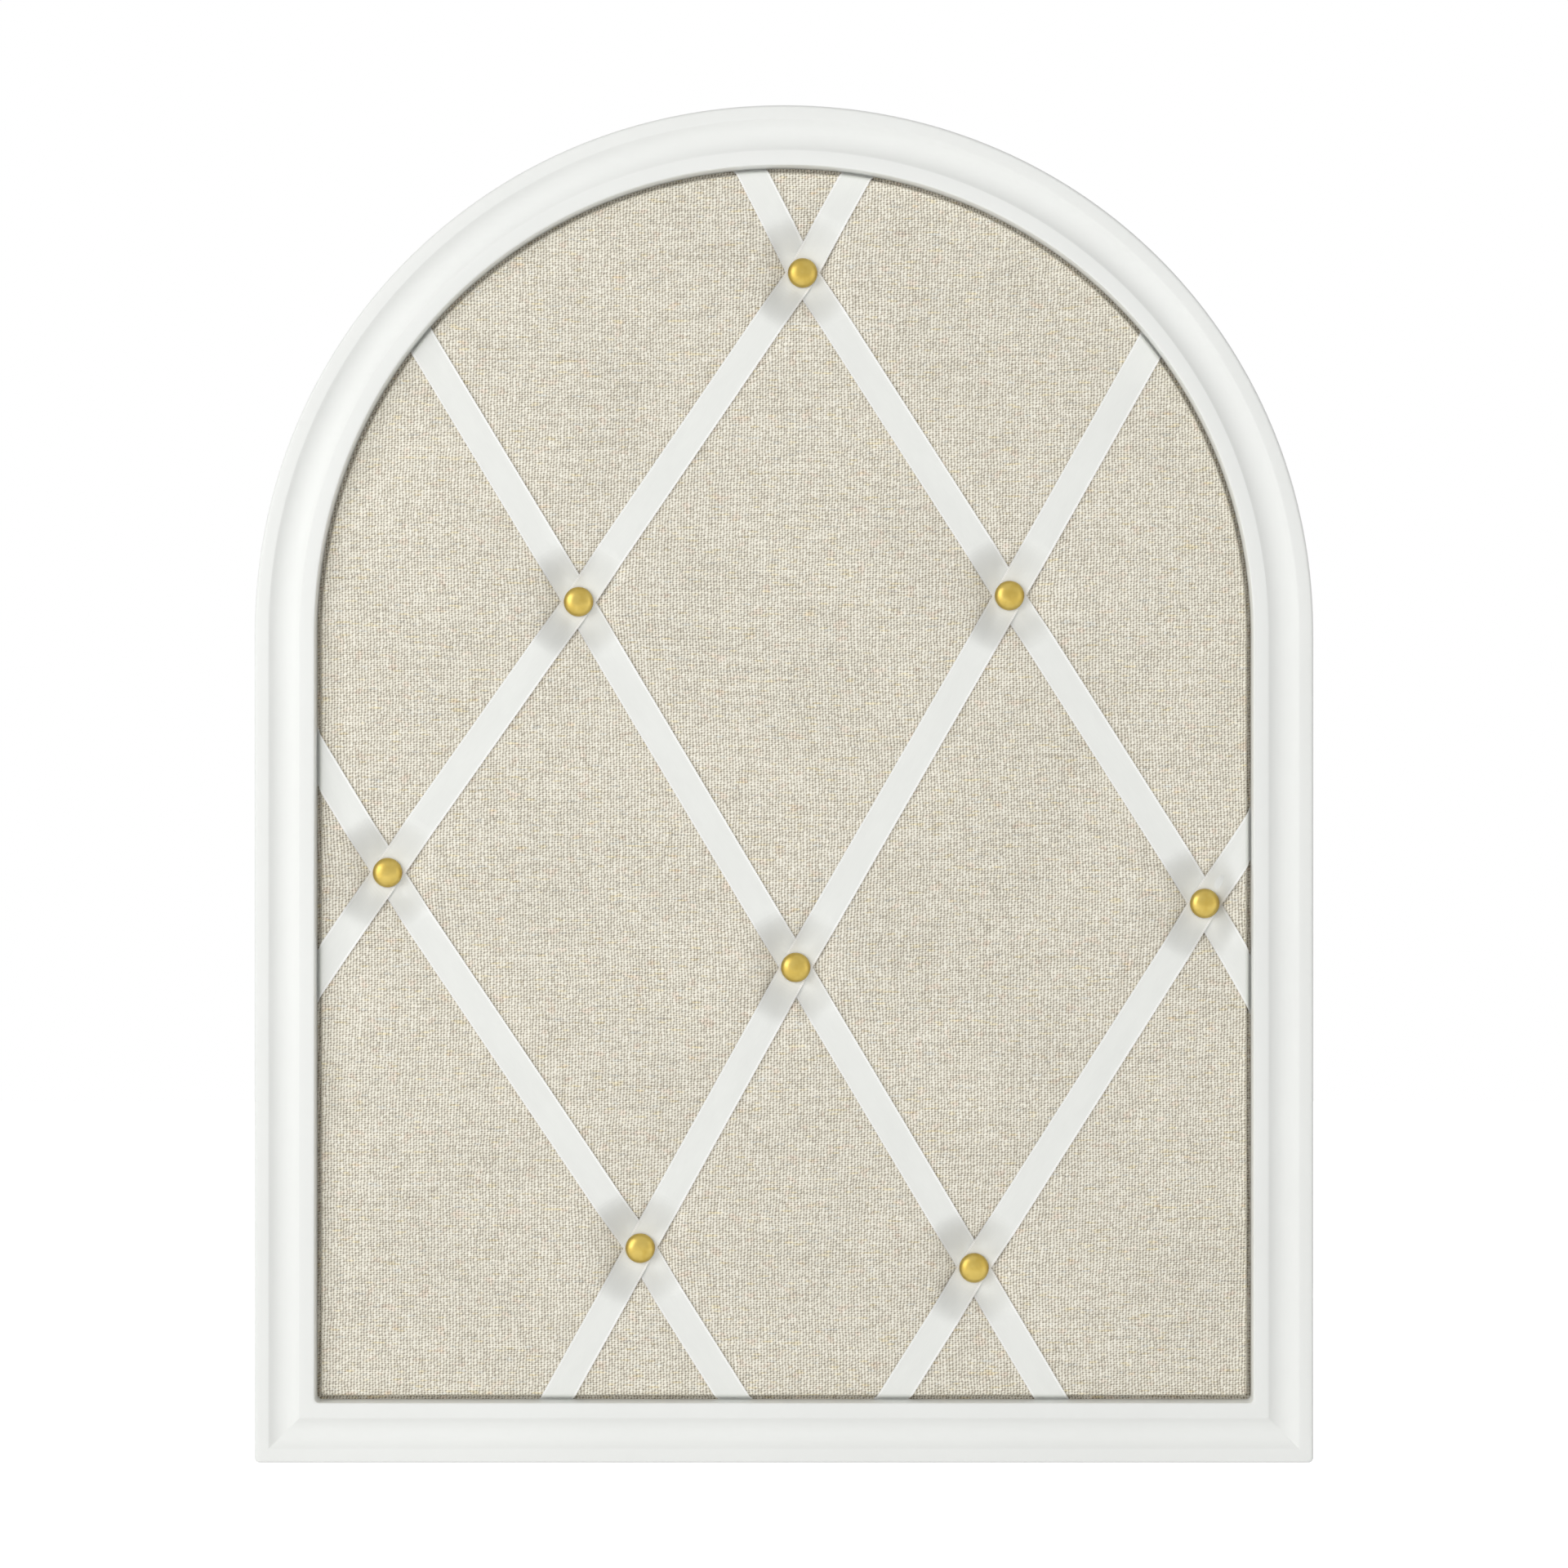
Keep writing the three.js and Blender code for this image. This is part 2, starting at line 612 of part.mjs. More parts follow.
// One skin of the padded face: the face's points, then a ring for each further point of the edge path
function skin(lift, path) {
  const face = facePlan.points.map(([x, z]) => new THREE.Vector3(x, yAt(padFront(x, z) - lift), z));
  const paths = facePlan.stations.map((station) => path(lift, padFront(...inset(station, rollInset))));
  const rings = paths[0].slice(1).map((_, step) =>
    facePlan.stations.map((station, i) => {
      const [amount, depth] = paths[i][step + 1];
      const [x, z] = inset(station, amount);
      return new THREE.Vector3(x, yAt(depth), z);
    }),
  );
  const count = facePlan.stations.length;
  const starts = [0, ...rings.map((_, step) => face.length + step * count)];
  const faces = [...facePlan.triangles];
  for (let step = 0; step < rings.length; step += 1) {
    faces.push(...band(starts[step], starts[step + 1], count));
  }
  return { vertices: [...face, ...rings.flat()], faces, lastRing: starts.at(-1) };
}

function band(first, second, count) {
  return Array.from({ length: count }, (_, i) => i).flatMap((i) => {
    const j = (i + 1) % count;
    return [
      [first + i, second + i, second + j],
      [first + i, second + j, first + j],
    ];
  });
}

const shankHoles = (fromDepth, toDepth) =>
  tackPoints.map((point) => drill(TACK_SHANK / 2 + PIERCE_GAP, point, fromDepth, toDepth));

function foamPad() {
  const path = (lift, crown) => [...edgePath(lift, crown), [panelInset, padBack]];
  const { vertices, faces, lastRing } = skin(0, path);
  const count = facePlan.stations.length;
  const centre = vertices.length;
  vertices.push(new THREE.Vector3(0, yAt(padBack), (springZ + bottomZ) / 2));
  for (let i = 0; i < count; i += 1) faces.push([lastRing + ((i + 1) % count), lastRing + i, centre]);
  return cut(closedGeometry(vertices, faces), shankHoles(padCrown, boardFront));
}

function linenCover() {
  const outer = skin(linenOuter, coverPath);
  const inner = skin(linenInner, coverPath);
  const shift = outer.vertices.length;
  const turnedIn = inner.faces.map(([a, b, c]) => [shift + c, shift + b, shift + a]);
  const hem = band(outer.lastRing, shift + inner.lastRing, facePlan.stations.length);
  const faces = [...outer.faces, ...turnedIn, ...hem];
  const cover = closedGeometry([...outer.vertices, ...inner.vertices], faces);
  return cut(cover, shankHoles(0, padBack));
}

// Ribbons: the plan line leaves the face where the roll starts, then turns square to the edge
function ribbonExit(tack, aim) {
  const length = Math.hypot(aim[0] - tack[0], aim[1] - tack[1]);
  const direction = [(aim[0] - tack[0]) / length, (aim[1] - tack[1]) / length];
  const along = (distance) => [tack[0] + distance * direction[0], tack[1] + distance * direction[1]];
  let inside = 0;
  let outside = length + rollInset;
  for (let i = 0; i < EXIT_SEARCH_STEPS; i += 1) {
    const middle = (inside + outside) / 2;
    if (edgeAt(...along(middle)).inset > rollInset) inside = middle;
    else outside = middle;
  }
  const point = along(inside);
  return { point, direction, edge: edgeAt(...point) };
}

const dot = (a, b) => a[0] * b[0] + a[1] * b[1];
const leftOf = ([x, z]) => [-z, x];

function ribbonPath(lift, crown) {
  const stepStart = hemInset + 2 * FIT_GAP;
  const stepEnd = stepStart + LINEN_THICKNESS + FIT_GAP;
  const lowered = boardBack + lift - linenOuter;
  return [
    ...edgePath(lift, crown),
    [panelInset - lift, boardBack + lift],
    [stepStart, boardBack + lift],
    [stepEnd, lowered],
    [tailInset, lowered],
  ];
}

const ACROSS = [-1, 0, 1];

// A section lists its front points from right to left, then its back points from left to right
function ribbonSection(pointAt) {
  const front = ACROSS.map((share) => pointAt(share, ribbonOuter));
  const back = ACROSS.map((share) => pointAt(share, ribbonInner));
  return [...front, ...back.reverse()];
}

// Slant of a ribbon at an edge: slip along the edge for each mm outwards, and its half width there
function ribbonSlant({ direction, edge }) {
  const facing = dot(direction, edge.outward);
  return { slip: dot(direction, edge.along) / facing, half: RIBBON_WIDTH / 2 / facing };
}

function tailShift(exit) {
  return ribbonSlant(exit).slip * (rollInset - panelInset);
}

function ribbonEnd(exit, hand) {
  const { edge } = exit;
  const { slip, half } = ribbonSlant(exit);
  const side = Math.sign(dot(edge.along, leftOf(exit.direction))) * hand;
  const turnStep = ROLL_STEPS + 1;
  const steps = ribbonPath(ribbonOuter, padCrown).map((_, step) => step);
  return steps.map((step) =>
    ribbonSection((share, lift) => {
      const slanted = Math.min(step / turnStep, 1);
      const [reach] = ribbonPath(lift, padCrown)[Math.min(step, turnStep)];
      const width = half + (RIBBON_WIDTH / 2 - half) * slanted;
      const shift = slip * (rollInset - reach) + side * share * width;
      const crown = faceDepth(...edge.place(shift, rollInset));
      const [amount, depth] = ribbonPath(lift, crown)[step];
      const [x, z] = edge.place(shift, amount);
      return new THREE.Vector3(x, yAt(depth), z);
    }),
  );
}

// A ribbon's section on the face, cut along a direction, raised where it passes over another
function faceSection(centre, travel, cutLine, raise) {
  const left = leftOf(travel);
  const facing = dot(cutLine, left);
  const reach = (Math.sign(facing) * RIBBON_WIDTH) / 2 / Math.abs(facing);
  return ribbonSection((share, lift) => {
    const x = centre[0] + share * reach * cutLine[0];
    const z = centre[1] + share * reach * cutLine[1];
    return new THREE.Vector3(x, yAt(faceDepth(x, z) - lift - raise), z);
  });
}

function raiseAt(distance) {
  return crossingRaise * THREE.MathUtils.clamp((tuftRim - distance) / TUFT_SKIRT, 0, 1);
}

// Sections over the face from one stop to the next: at the radii of each tuft, and slanting to an exit
function faceRun(a, b, exitA, exitB, over) {
  const length = Math.hypot(b[0] - a[0], b[1] - a[1]);
  const travel = [(b[0] - a[0]) / length, (b[1] - a[1]) / length];
  const square = leftOf(travel);
  const exit = exitA ?? exitB;
  const along = exit ? exit.edge.along : square;
  const slanted = dot(along, square) < 0 ? along.map((value) => -value) : along;
  const slantStart = Math.min(tuftRim, SLANT_SHARE * length);
  const room = exit ? length - FIT_GAP : length / 2;
  const tuftRadii = [0, TACK_DIAMETER / 2, tuftSeat, tuftFunnel, tuftRim].filter((radius) => radius < room);
  const radii = exit ? [...tuftRadii, (tuftRadii.at(-1) + length) / 2] : tuftRadii;
  const fromA = exitA ? [0] : radii;
  const fromB = exitB ? [0] : radii.slice(1).reverse();
  return [...fromA, ...fromB.map((distance) => length - distance)].map((distance) => {
    const toA = exitA ? length : distance;
    const toB = exitB ? length : length - distance;
    const fromTack = Math.min(toA, toB);
    const slant = exit ? THREE.MathUtils.clamp((fromTack - slantStart) / (length - slantStart), 0, 1) : 0;
    const line = square.map((value, axis) => value + (slanted[axis] - value) * slant);
    const centre = [a[0] + distance * travel[0], a[1] + distance * travel[1]];
    return faceSection(centre, travel, line, over ? raiseAt(fromTack) : 0);
  });
}

function ribbon({ over, from, tacks, to }) {
  const points = tacks.map((i) => tackPoints[i]);
  const start = ribbonExit(points[0], fromShares(from));
  const end = ribbonExit(points.at(-1), fromShares(to));
  const stops = [start.point, ...points, end.point];
  const exits = [start, ...points.map(() => null), end];
  const sections = ribbonEnd(start, -1).slice(1).reverse();
  for (let k = 0; k + 1 < stops.length; k += 1) {
    sections.push(...faceRun(stops[k], stops[k + 1], exits[k], exits[k + 1], over));
  }
  sections.push(...ribbonEnd(end, 1).slice(1));
  return { sections, exits: [start, end], points };
}

function ribbonGeometry(sections) {
  const count = 2 * ACROSS.length;
  const faces = [];
  for (let s = 0; s + 1 < sections.length; s += 1) faces.push(...band(s * count, (s + 1) * count, count));
  const last = (sections.length - 1) * count;
  for (let i = 0; i + 1 < ACROSS.length; i += 1) {
    const j = count - 1 - i;
    faces.push([i, i + 1, j - 1], [i, j - 1, j]);
    faces.push([last + j - 1, last + i + 1, last + i], [last + j, last + j - 1, last + i]);
  }
  return closedGeometry(sections.flat(), faces);
}

// Staple across a ribbon's tail: crown on the ribbon, legs in the backer board
const stapleDepth = boardBack + ribbonOuter - linenOuter + FIT_GAP;
const stapleInset = (hemInset + tailInset) / 2 + FIT_GAP;

function stapleGeometry() {
  const half = STAPLE_CROWN / 2;
  const outline = [
    [-half, STAPLE_WIRE],
    [-half, -STAPLE_LEG],
    [STAPLE_WIRE - half, -STAPLE_LEG],
    [STAPLE_WIRE - half, 0],
    [half - STAPLE_WIRE, 0],
    [half - STAPLE_WIRE, -STAPLE_LEG],
    [half, -STAPLE_LEG],
    [half, STAPLE_WIRE],
  ];
  const shape = new THREE.Shape(outline.map(([x, y]) => new THREE.Vector2(x, y)));
  const geometry = new THREE.ExtrudeGeometry(shape, { depth: STAPLE_WIRE, bevelEnabled: false });
  return geometry.translate(0, 0, -STAPLE_WIRE / 2);
}

function staplePlace(exit) {
  const [x, z] = exit.edge.place(tailShift(exit), stapleInset);
  return { x, z, turn: turnTo(exit.edge.along) };
}

function stapleHoles({ x, z, turn }) {
  const width = STAPLE_WIRE + 2 * PIERCE_GAP;
  const length = STAPLE_LEG + PIERCE_GAP;
  return [-1, 1].map((side) => {
    const hole = new THREE.BoxGeometry(width, length, width);
    hole.translate((side * (STAPLE_CROWN - STAPLE_WIRE)) / 2, -length / 2, 0);
    return hole.rotateY(turn).translate(x, yAt(stapleDepth), z);
  });
}

// Tack: a hollow dome on a pointed shank, its rim on the upper ribbon
function tackGeometry() {
  const radius = TACK_DIAMETER / 2;
  const shank = TACK_SHANK / 2;
  const tip = boardBack - TACK_TIP_COVER - (padAtTack - tackLift);
  return turned([
    ...dome(radius, -TACK_RIM, -TACK_DOME, TACK_DOME_STEPS).reverse(),
    [radius, 0],
    [radius - TACK_WALL, 0],
    [shank, TACK_WALL - TACK_DOME / 2],
    [shank, tip - TACK_SHANK],
    [0, tip],
  ]);
}

function buildPanel() {
  const panel = new THREE.Group();
  const ribbons = RIBBON_ROUTES.map((route) => ({ ...route, ...ribbon(route) }));
  const staples = ribbons.flatMap(({ name, exits }) =>
    exits.map((exit, i) => ({ name: `${name.replace("ribbon", "staple")}_${i ? "end" : "start"}`, exit })),
  );
  const places = staples.map(({ exit }) => staplePlace(exit));

  const outline = outlineStations(1, 1, SOFT_ARCH_STEPS).map((station) => inset(station, panelInset));
  const boardCuts = [
    ...shankHoles(padBack, boardBack - TACK_TIP_COVER + FIT_GAP),
    ...places.flatMap(stapleHoles),
  ];
  panel.add(piece("backer_board", cut(plate(outline, boardFront, boardBack), boardCuts), fibreboard()));
  panel.add(piece("foam_pad", foamPad(), foam()));
  panel.add(piece("linen_cover", linenCover(), linen()));

  ribbons.forEach(({ name, sections, exits, points }) => {
    const shanks = points.map((point) => drill(TACK_SHANK / 2 + PIERCE_GAP, point, 0, padBack));
    const cuts = [...shanks, ...exits.map(staplePlace).flatMap(stapleHoles)];
    panel.add(piece(name, cut(ribbonGeometry(sections), cuts), satin()));
  });

  staples.forEach(({ name }, i) => {
    const staple = piece(name, stapleGeometry(), steel());
    staple.position.set(places[i].x, yAt(stapleDepth), places[i].z);
    staple.rotation.y = places[i].turn;
    panel.add(staple);
  });

  tackPoints.forEach(([x, z], i) => {
    const tack = piece(`tack_${i + 1}`, tackGeometry(), brass());
    tack.position.set(x, yAt(padAtTack - tackLift), z);
    panel.add(tack);
  });
  return panel;
}

// Wood screw with a domed head and a crossed recess, its head's underside at Y = 0
function screwGeometry() {
  const head = SCREW_HEAD / 2;
  const shank = SCREW_SHANK / 2;
  const body = turned([
    [0, -SCREW_LENGTH],
    [shank, SCREW_HEAD - SCREW_LENGTH],
    [shank, 0],
    [head, 0],
    ...dome(head, SCREW_HEAD_RIM, SCREW_HEAD_HEIGHT, SCREW_DOME_STEPS),
  ]);
  const slot = () => new THREE.BoxGeometry(SCREW_RECESS_LENGTH, 2 * SCREW_RECESS_DEPTH, SCREW_RECESS_WIDTH);
  const recess = [slot(), slot().rotateY(Math.PI / 2)];
  return cut(body, recess.map((tool) => tool.translate(0, SCREW_HEAD_HEIGHT, 0)));
}

// Turn button: a flat steel bar with round ends, pivoting near one end
function buttonGeometry() {
  const radius = BUTTON_WIDTH / 2;
  const span = BUTTON_LENGTH - BUTTON_WIDTH;
  const shape = new THREE.Shape();
  shape.absarc(0, 0, radius, Math.PI / 2, 1.5 * Math.PI);
  shape.absarc(span, 0, radius, -Math.PI / 2, Math.PI / 2);
  const hole = new THREE.Path();
  hole.absarc(0, 0, SCREW_SHANK / 2 + PIERCE_GAP, 0, 2 * Math.PI, true);
  shape.holes.push(hole);
  const options = { depth: BUTTON_THICKNESS, bevelEnabled: false, curveSegments: BUTTON_END_STEPS };
  const geometry = new THREE.ExtrudeGeometry(shape, options);
  return geometry.rotateX(Math.PI / 2).translate(0, BUTTON_THICKNESS, 0);
}

// Strap hanger: a flat strap whose top end curls round the ring's bar, which lies at the origin
function strapGeometry() {
  const curl = THREE.MathUtils.degToRad(STRAP_CURL);
  const back = -curlRadius - STRAP_THICKNESS;
  const outline = [
    [back, -STRAP_LENGTH],
    ...arc([0, 0], curlRadius + STRAP_THICKNESS, Math.PI, Math.PI - curl, CURL_STEPS),
    ...arc([0, 0], curlRadius, Math.PI - curl, Math.PI, CURL_STEPS),
    [-curlRadius, -STRAP_LENGTH],
  ];
  const shape = new THREE.Shape(outline.map(([y, z]) => new THREE.Vector2(y, z)));
  const geometry = new THREE.ExtrudeGeometry(shape, { depth: STRAP_WIDTH, bevelEnabled: false });
  const axes = new THREE.Matrix4().makeBasis(
    new THREE.Vector3(0, 1, 0),
    new THREE.Vector3(0, 0, 1),
    new THREE.Vector3(1, 0, 0),
  );
  geometry.translate(0, 0, -STRAP_WIDTH / 2).applyMatrix4(axes);
  const radius = SCREW_SHANK / 2 + PIERCE_GAP;
  const length = 2 * (STRAP_THICKNESS + CUT_OVERSHOOT);
  const hole = new THREE.CylinderGeometry(radius, radius, length, WIRE_SIDES);
  return cut(geometry, [hole.translate(0, back, -STRAP_SCREW_DROP)]);
}

// Ring: round wire bent to a D, hanging down, its two ends butting inside the strap's curl
function ringGeometry() {
  const half = STRAP_WIDTH / 2 + FIT_GAP + RING_CORNER;
  const barEnd = half - RING_CORNER;
  const bowTop = half - RING_DROP;
  const handle = QUARTER_HANDLE * half;
  const at = (x, z) => new THREE.Vector3(x, 0, z);
  const line = (a, b) => new THREE.LineCurve3(at(...a), at(...b));
  const corner = (a, b, c) => new THREE.QuadraticBezierCurve3(at(...a), at(...b), at(...c));
  const bow = (a, b, c, d) => new THREE.CubicBezierCurve3(at(...a), at(...b), at(...c), at(...d));
  const path = new THREE.CurvePath();
  path.add(line([RING_BUTT_GAP / 2, 0], [barEnd, 0]));
  path.add(corner([barEnd, 0], [half, 0], [half, -RING_CORNER]));
  path.add(line([half, -RING_CORNER], [half, bowTop]));
  path.add(bow([half, bowTop], [half, bowTop - handle], [handle, -RING_DROP], [0, -RING_DROP]));
  path.add(bow([0, -RING_DROP], [-handle, -RING_DROP], [-half, bowTop - handle], [-half, bowTop]));
  path.add(line([-half, bowTop], [-half, -RING_CORNER]));
  path.add(corner([-half, -RING_CORNER], [-half, 0], [-barEnd, 0]));
  path.add(line([-barEnd, 0], [-RING_BUTT_GAP / 2, 0]));
  const wire = arc([0, 0], RING_WIRE / 2, 0, 2 * Math.PI, WIRE_SIDES).slice(1);
  const section = new THREE.Shape(wire.map(([x, y]) => new THREE.Vector2(x, y)));
  return new THREE.ExtrudeGeometry(section, { steps: RING_STEPS, extrudePath: path, bevelEnabled: false });
}

// Bumper: a low rubber dome cut flat where it meets the wall
function bumperGeometry() {
  const face = BUMPER_FACE / 2;
  const shoulder = BUMPER_DIAMETER / 2 - face;
  const height = wallDepth - hardwareSeat;
  return turned([
    [0, 0],
    [BUMPER_DIAMETER / 2, 0],
    ...arc([face, height - shoulder], shoulder, 0, Math.PI / 2, EDGE_STEPS),
    [0, height],
  ]);
}

function buildHardware() {
  const hardware = new THREE.Group();
  const place = (mesh, [x, z], depth, turn = 0) => {
    mesh.position.set(x, yAt(depth), z);
    mesh.rotation.y = turn;
    hardware.add(mesh);
  };
  buttons.forEach(({ name, station, pivot }) => {
    const turn = turnTo([station.vx, station.vz]);
    place(piece(`turn_button_${name}`, buttonGeometry(), steel()), pivot, hardwareSeat, turn);
    place(piece(`turn_button_screw_${name}`, screwGeometry(), steel()), pivot, buttonHeadDepth, turn);
  });
  [
    ["left", -1],
    ["right", 1],
  ].forEach(([hand, side]) => {
    place(piece(`hanger_strap_${hand}`, strapGeometry(), steel()), hangerPivot(side), ringAxisDepth);
    place(piece(`hanger_ring_${hand}`, ringGeometry(), steel()), hangerPivot(side), ringAxisDepth);
    place(piece(`hanger_screw_${hand}`, screwGeometry(), steel()), hangerScrew(side), strapHeadDepth);
    const bumperPlace = [side * (archRadius - BUMPER_INSET), bottomZ + landInset];
    place(piece(`wall_bumper_${hand}`, bumperGeometry(), rubber()), bumperPlace, hardwareSeat);
  });
  return hardware;
}

const memoBoard = new THREE.Group();
memoBoard.add(buildFrame(), buildPanel(), buildHardware());

export default memoBoard;
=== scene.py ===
"""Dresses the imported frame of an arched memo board: moulding, linen pad, ribbons, tacks and hardware."""

import bmesh
import bpy
import numpy as np
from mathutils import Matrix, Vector


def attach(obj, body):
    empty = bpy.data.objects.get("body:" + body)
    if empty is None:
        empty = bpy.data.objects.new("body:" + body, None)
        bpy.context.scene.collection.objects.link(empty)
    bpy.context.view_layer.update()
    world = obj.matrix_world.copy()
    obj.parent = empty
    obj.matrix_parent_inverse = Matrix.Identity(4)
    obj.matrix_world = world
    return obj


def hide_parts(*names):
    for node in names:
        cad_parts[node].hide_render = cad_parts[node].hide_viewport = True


bl_info = {
    "name": "Arched memo board",
    "version": (1, 0, 0),
    "blender": (4, 5, 0),
    "location": "3D View > Sidebar > Memo board",
    "description": "Makes the moulded frame, linen pad, ribbons, tacks and hardware of an arched memo board",
    "category": "Object",
}

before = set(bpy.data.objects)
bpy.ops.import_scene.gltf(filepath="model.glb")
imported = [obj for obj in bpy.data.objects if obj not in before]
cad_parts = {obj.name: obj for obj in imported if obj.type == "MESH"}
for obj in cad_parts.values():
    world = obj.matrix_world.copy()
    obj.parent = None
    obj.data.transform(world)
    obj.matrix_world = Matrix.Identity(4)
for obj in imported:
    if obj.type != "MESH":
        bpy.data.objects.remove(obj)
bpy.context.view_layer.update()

# Lengths are in millimetres until a mesh is made
MM = 0.001

# Points closer than this are one point, and edges shorter than this are dropped, in metres
WELD_DISTANCE = 2e-6
SLIVER_LENGTH = 1e-7

# Outline of the board, as in the CAD part
BOARD_WIDTH = 356.0
BOARD_HEIGHT = 456.5
ARCH_RADIUS = BOARD_WIDTH / 2
ARCH_FULLNESS = 2.025
SPRING_Z = 20.5
BOTTOM_Z = -258.0
WALL_DEPTH = 23.15

# Moulding: widths across its face, depths behind its front
MOULDING_WIDTH = 20.2
OUTER_BAND = 4.9
COVE_WIDTH = 10.2
OUTER_EDGE_RADIUS = 1.2
SIGHT_EDGE_RADIUS = 0.6
SIGHT_CORNER_RADIUS = 1.7
SIGHT_CORNER_ROOT = 0.4
MOULDING_DEPTH = 18.05
LIP_DEPTH = 8.5
RABBET_INSET = 13.7
CORNER_RADIUS_OUTER = 1.7
CORNER_RADIUS_SIGHT = 1.3
CORNER_RADIUS_COVE = 0.3
COVE_EDGE_EASE = 0.3
BACK_CHAMFER = 0.4
SIGHT_CORNER_DEPTHS = (0.08, 0.16, 0.28, 0.42)
ARCH_STATIONS = 181
STILE_STATIONS = 13
RAIL_STATIONS = 15
MITRE_STATIONS = 6

# Padded panel: insets from the board's outline and depths behind the moulding's front
PANEL_INSET = 15.55
ROLL_INSET = 22.55
ROLL_REACH = 0.5
HEM_INSET = 31.55
TAIL_INSET = 45.55
STAPLE_INSET = 38.85
PAD_UNDER_LIP = 10.35
PAD_BACK = 11.95
PAD_CROWN = 5.95
BOARD_BACK = 17.25
BACK_FACE_Y = MOULDING_DEPTH - WALL_DEPTH
LINEN_LIFT = 0.8
FOAM_LIFT = 0.2
RIBBON_LIFT = 1.5
RIBBON_THICKNESS = 0.28
RIBBON_ROW_STEP = 1.1
SELVEDGE_HEIGHT = 0.03
SELVEDGE_INSET = 0.28
SELVEDGE_SPREAD = 0.2
CROSSING_RAISE = 0.6
CROSSING_START = 8.0
CROSSING_END = 17.0
TUFT_DEPTH = 3.6
TUFT_RADIUS = 10.9
TUFT_POWER = 2.5
RIBBON_DIP_START = 4.0
RIBBON_DIP_END = 21.0
RIBBON_PRESS_START = 4.6
RIBBON_PRESS_END = 7.5
LINEN_CORNER_RADIUS = 1.4
PAD_SWELL = 0.6
PAD_SWELL_RUN = 9.0
VALLEY_DEPTH = 0.35
VALLEY_INNER = 3.5
VALLEY_OUTER = 10.0
CREASE_DEPTH = 0.11
CREASE_RADIUS = 26.0
CREASE_START = 5.0
CREASE_FULL = 11.0
CREASE_FOLDS = 5
FINE_CREASE_FOLDS = 8
FINE_CREASE_SHARE = 0.7
CREASE_PHASE = 1.7
FINE_CREASE_PHASE = 2.3
BOARD_BEND = 0.6
BOARD_BEND_SHARE = 0.3
RELIEF_EDGE_RUN = 10.0
MIDDLE_LOW_Z = -80.0
HEM_PLEAT_PITCH = 9.0
HEM_PLEAT_HEIGHT = 0.3
STRAIGHT_PLEAT_SHARE = 0.25
HEM_START_INSET = 17.0
HEM_FOLD_INSET = 16.5
HEM_ROWS = 7
WEAVE_PULL = 0.14
WEAVE_PULL_RADIUS = 17.0

# Slow waver of the stretched weave and a finer ripple on it: height and run, across and up
WAVER_ACROSS = 0.7
WAVER_ACROSS_RUN = 41.0
RIPPLE_ACROSS = 0.35
RIPPLE_ACROSS_RUN = 17.0
WAVER_UP = 0.6
WAVER_UP_RUN = 47.0
RIPPLE_UP = 0.3
RIPPLE_UP_RUN = 19.0

# Stations round the arch, down a side, along the bottom and in a corner, and rows of each layer
LINEN_STATIONS = (301, 128, 150, 6)
FOAM_STATIONS = (121, 50, 60, 3)
HEM_STAPLE_STATIONS = (61, 9, 11, 2)
LINEN_RINGS = 86
FOAM_RINGS = 44
UNDERSIDE_RING_STEP = 4
LINEN_ROLL_ROWS = 13
FOAM_ROLL_ROWS = 9
RIBBON_ROLL_ROWS = 12
FOOT_STEPS = 14
EXIT_STEPS = 40

# Ribbon: shares of its half width that carry its long lines, and its tail over the hem
RIBBON_UPPER = np.array([0.12, 0.24, 0.36, 0.48, 0.6, 0.72, 0.82, 0.88, 0.91, 0.94, 0.97, 1.0])
RIBBON_UNDER = np.array([0.98, 0.5, -0.5, -0.98])
TAIL_INSETS = np.array([20.0, 25.0, HEM_INSET + 0.4, HEM_INSET + 1.0, HEM_INSET + 1.6, 39.0, TAIL_INSET])
TAIL_DROPS = np.array([0.0, 0.0, 0.0, 0.45, 0.8, 0.8, 0.8])
SQUARE_START_ROW = 13.0
SQUARE_END_ROW = 18.0

# Tacks, screws and the hardware on the back
TACK_RADIUS = 5.0
TACK_DOME = 3.2
TACK_RIM = 0.4
TACK_RIM_Y = -16.05
TACK_DOME_POWER = 2.6
TACK_DOME_ROOT = 0.54
TACK_UNDER_RADII = (4.93, 4.75, 4.3, 3.2, 0.8, 0.8, 0.45, 0.0)
TACK_UNDER_HEIGHTS = (0.02, 0.0, 0.08, 0.5, 0.8, -6.4, -7.6, -8.3)
TACK_EDGE = 0.12
HARDWARE_SEAT_Y = -4.8
LAND_INSET = 6.85
SCREW_HEAD_RADIUS = 2.8
SCREW_RIM = 0.5
SCREW_HEIGHT = 1.6
SCREW_RECESS = 0.9
SCREW_SHANK_RADIUS = 1.3
SCREW_BITE = 6.0
SCREW_DOME_POWER = 2.2
SCREW_DOME_ROOT = 0.6
SCREW_SIDES = 96
SCREW_RINGS = 40
CROSS_HALF = (0.28, 0.4)
CROSS_REACH = (1.45, 1.75)
BUTTON_SCREW_TURN = 0.4
BUTTON_SCREW_STEP = 0.7
HANGER_SCREW_TURN = 0.2
HANGER_SCREW_STEP = 0.5
BUTTON_SCREW_Y = -3.3
HANGER_SCREW_Y = -3.5
HANGER_SCREW_Z = -27.5
BUTTON_LENGTH = 20.0
BUTTON_WIDTH = 9.0
BUTTON_THICKNESS = 1.2
BUTTON_EASE = 0.3
BUTTON_CROWN = 0.06
BUTTON_END_POINTS = 20
BUTTON_CLEARANCE = 2.0
ARCH_BUTTON_ANGLE = 30.0
STILE_BUTTON_HEIGHT = 90.0
RAIL_BUTTON_SPREAD = 54.0
HANGER_X = ARCH_RADIUS - LAND_INSET
STRAP_WIDTH = 7.0
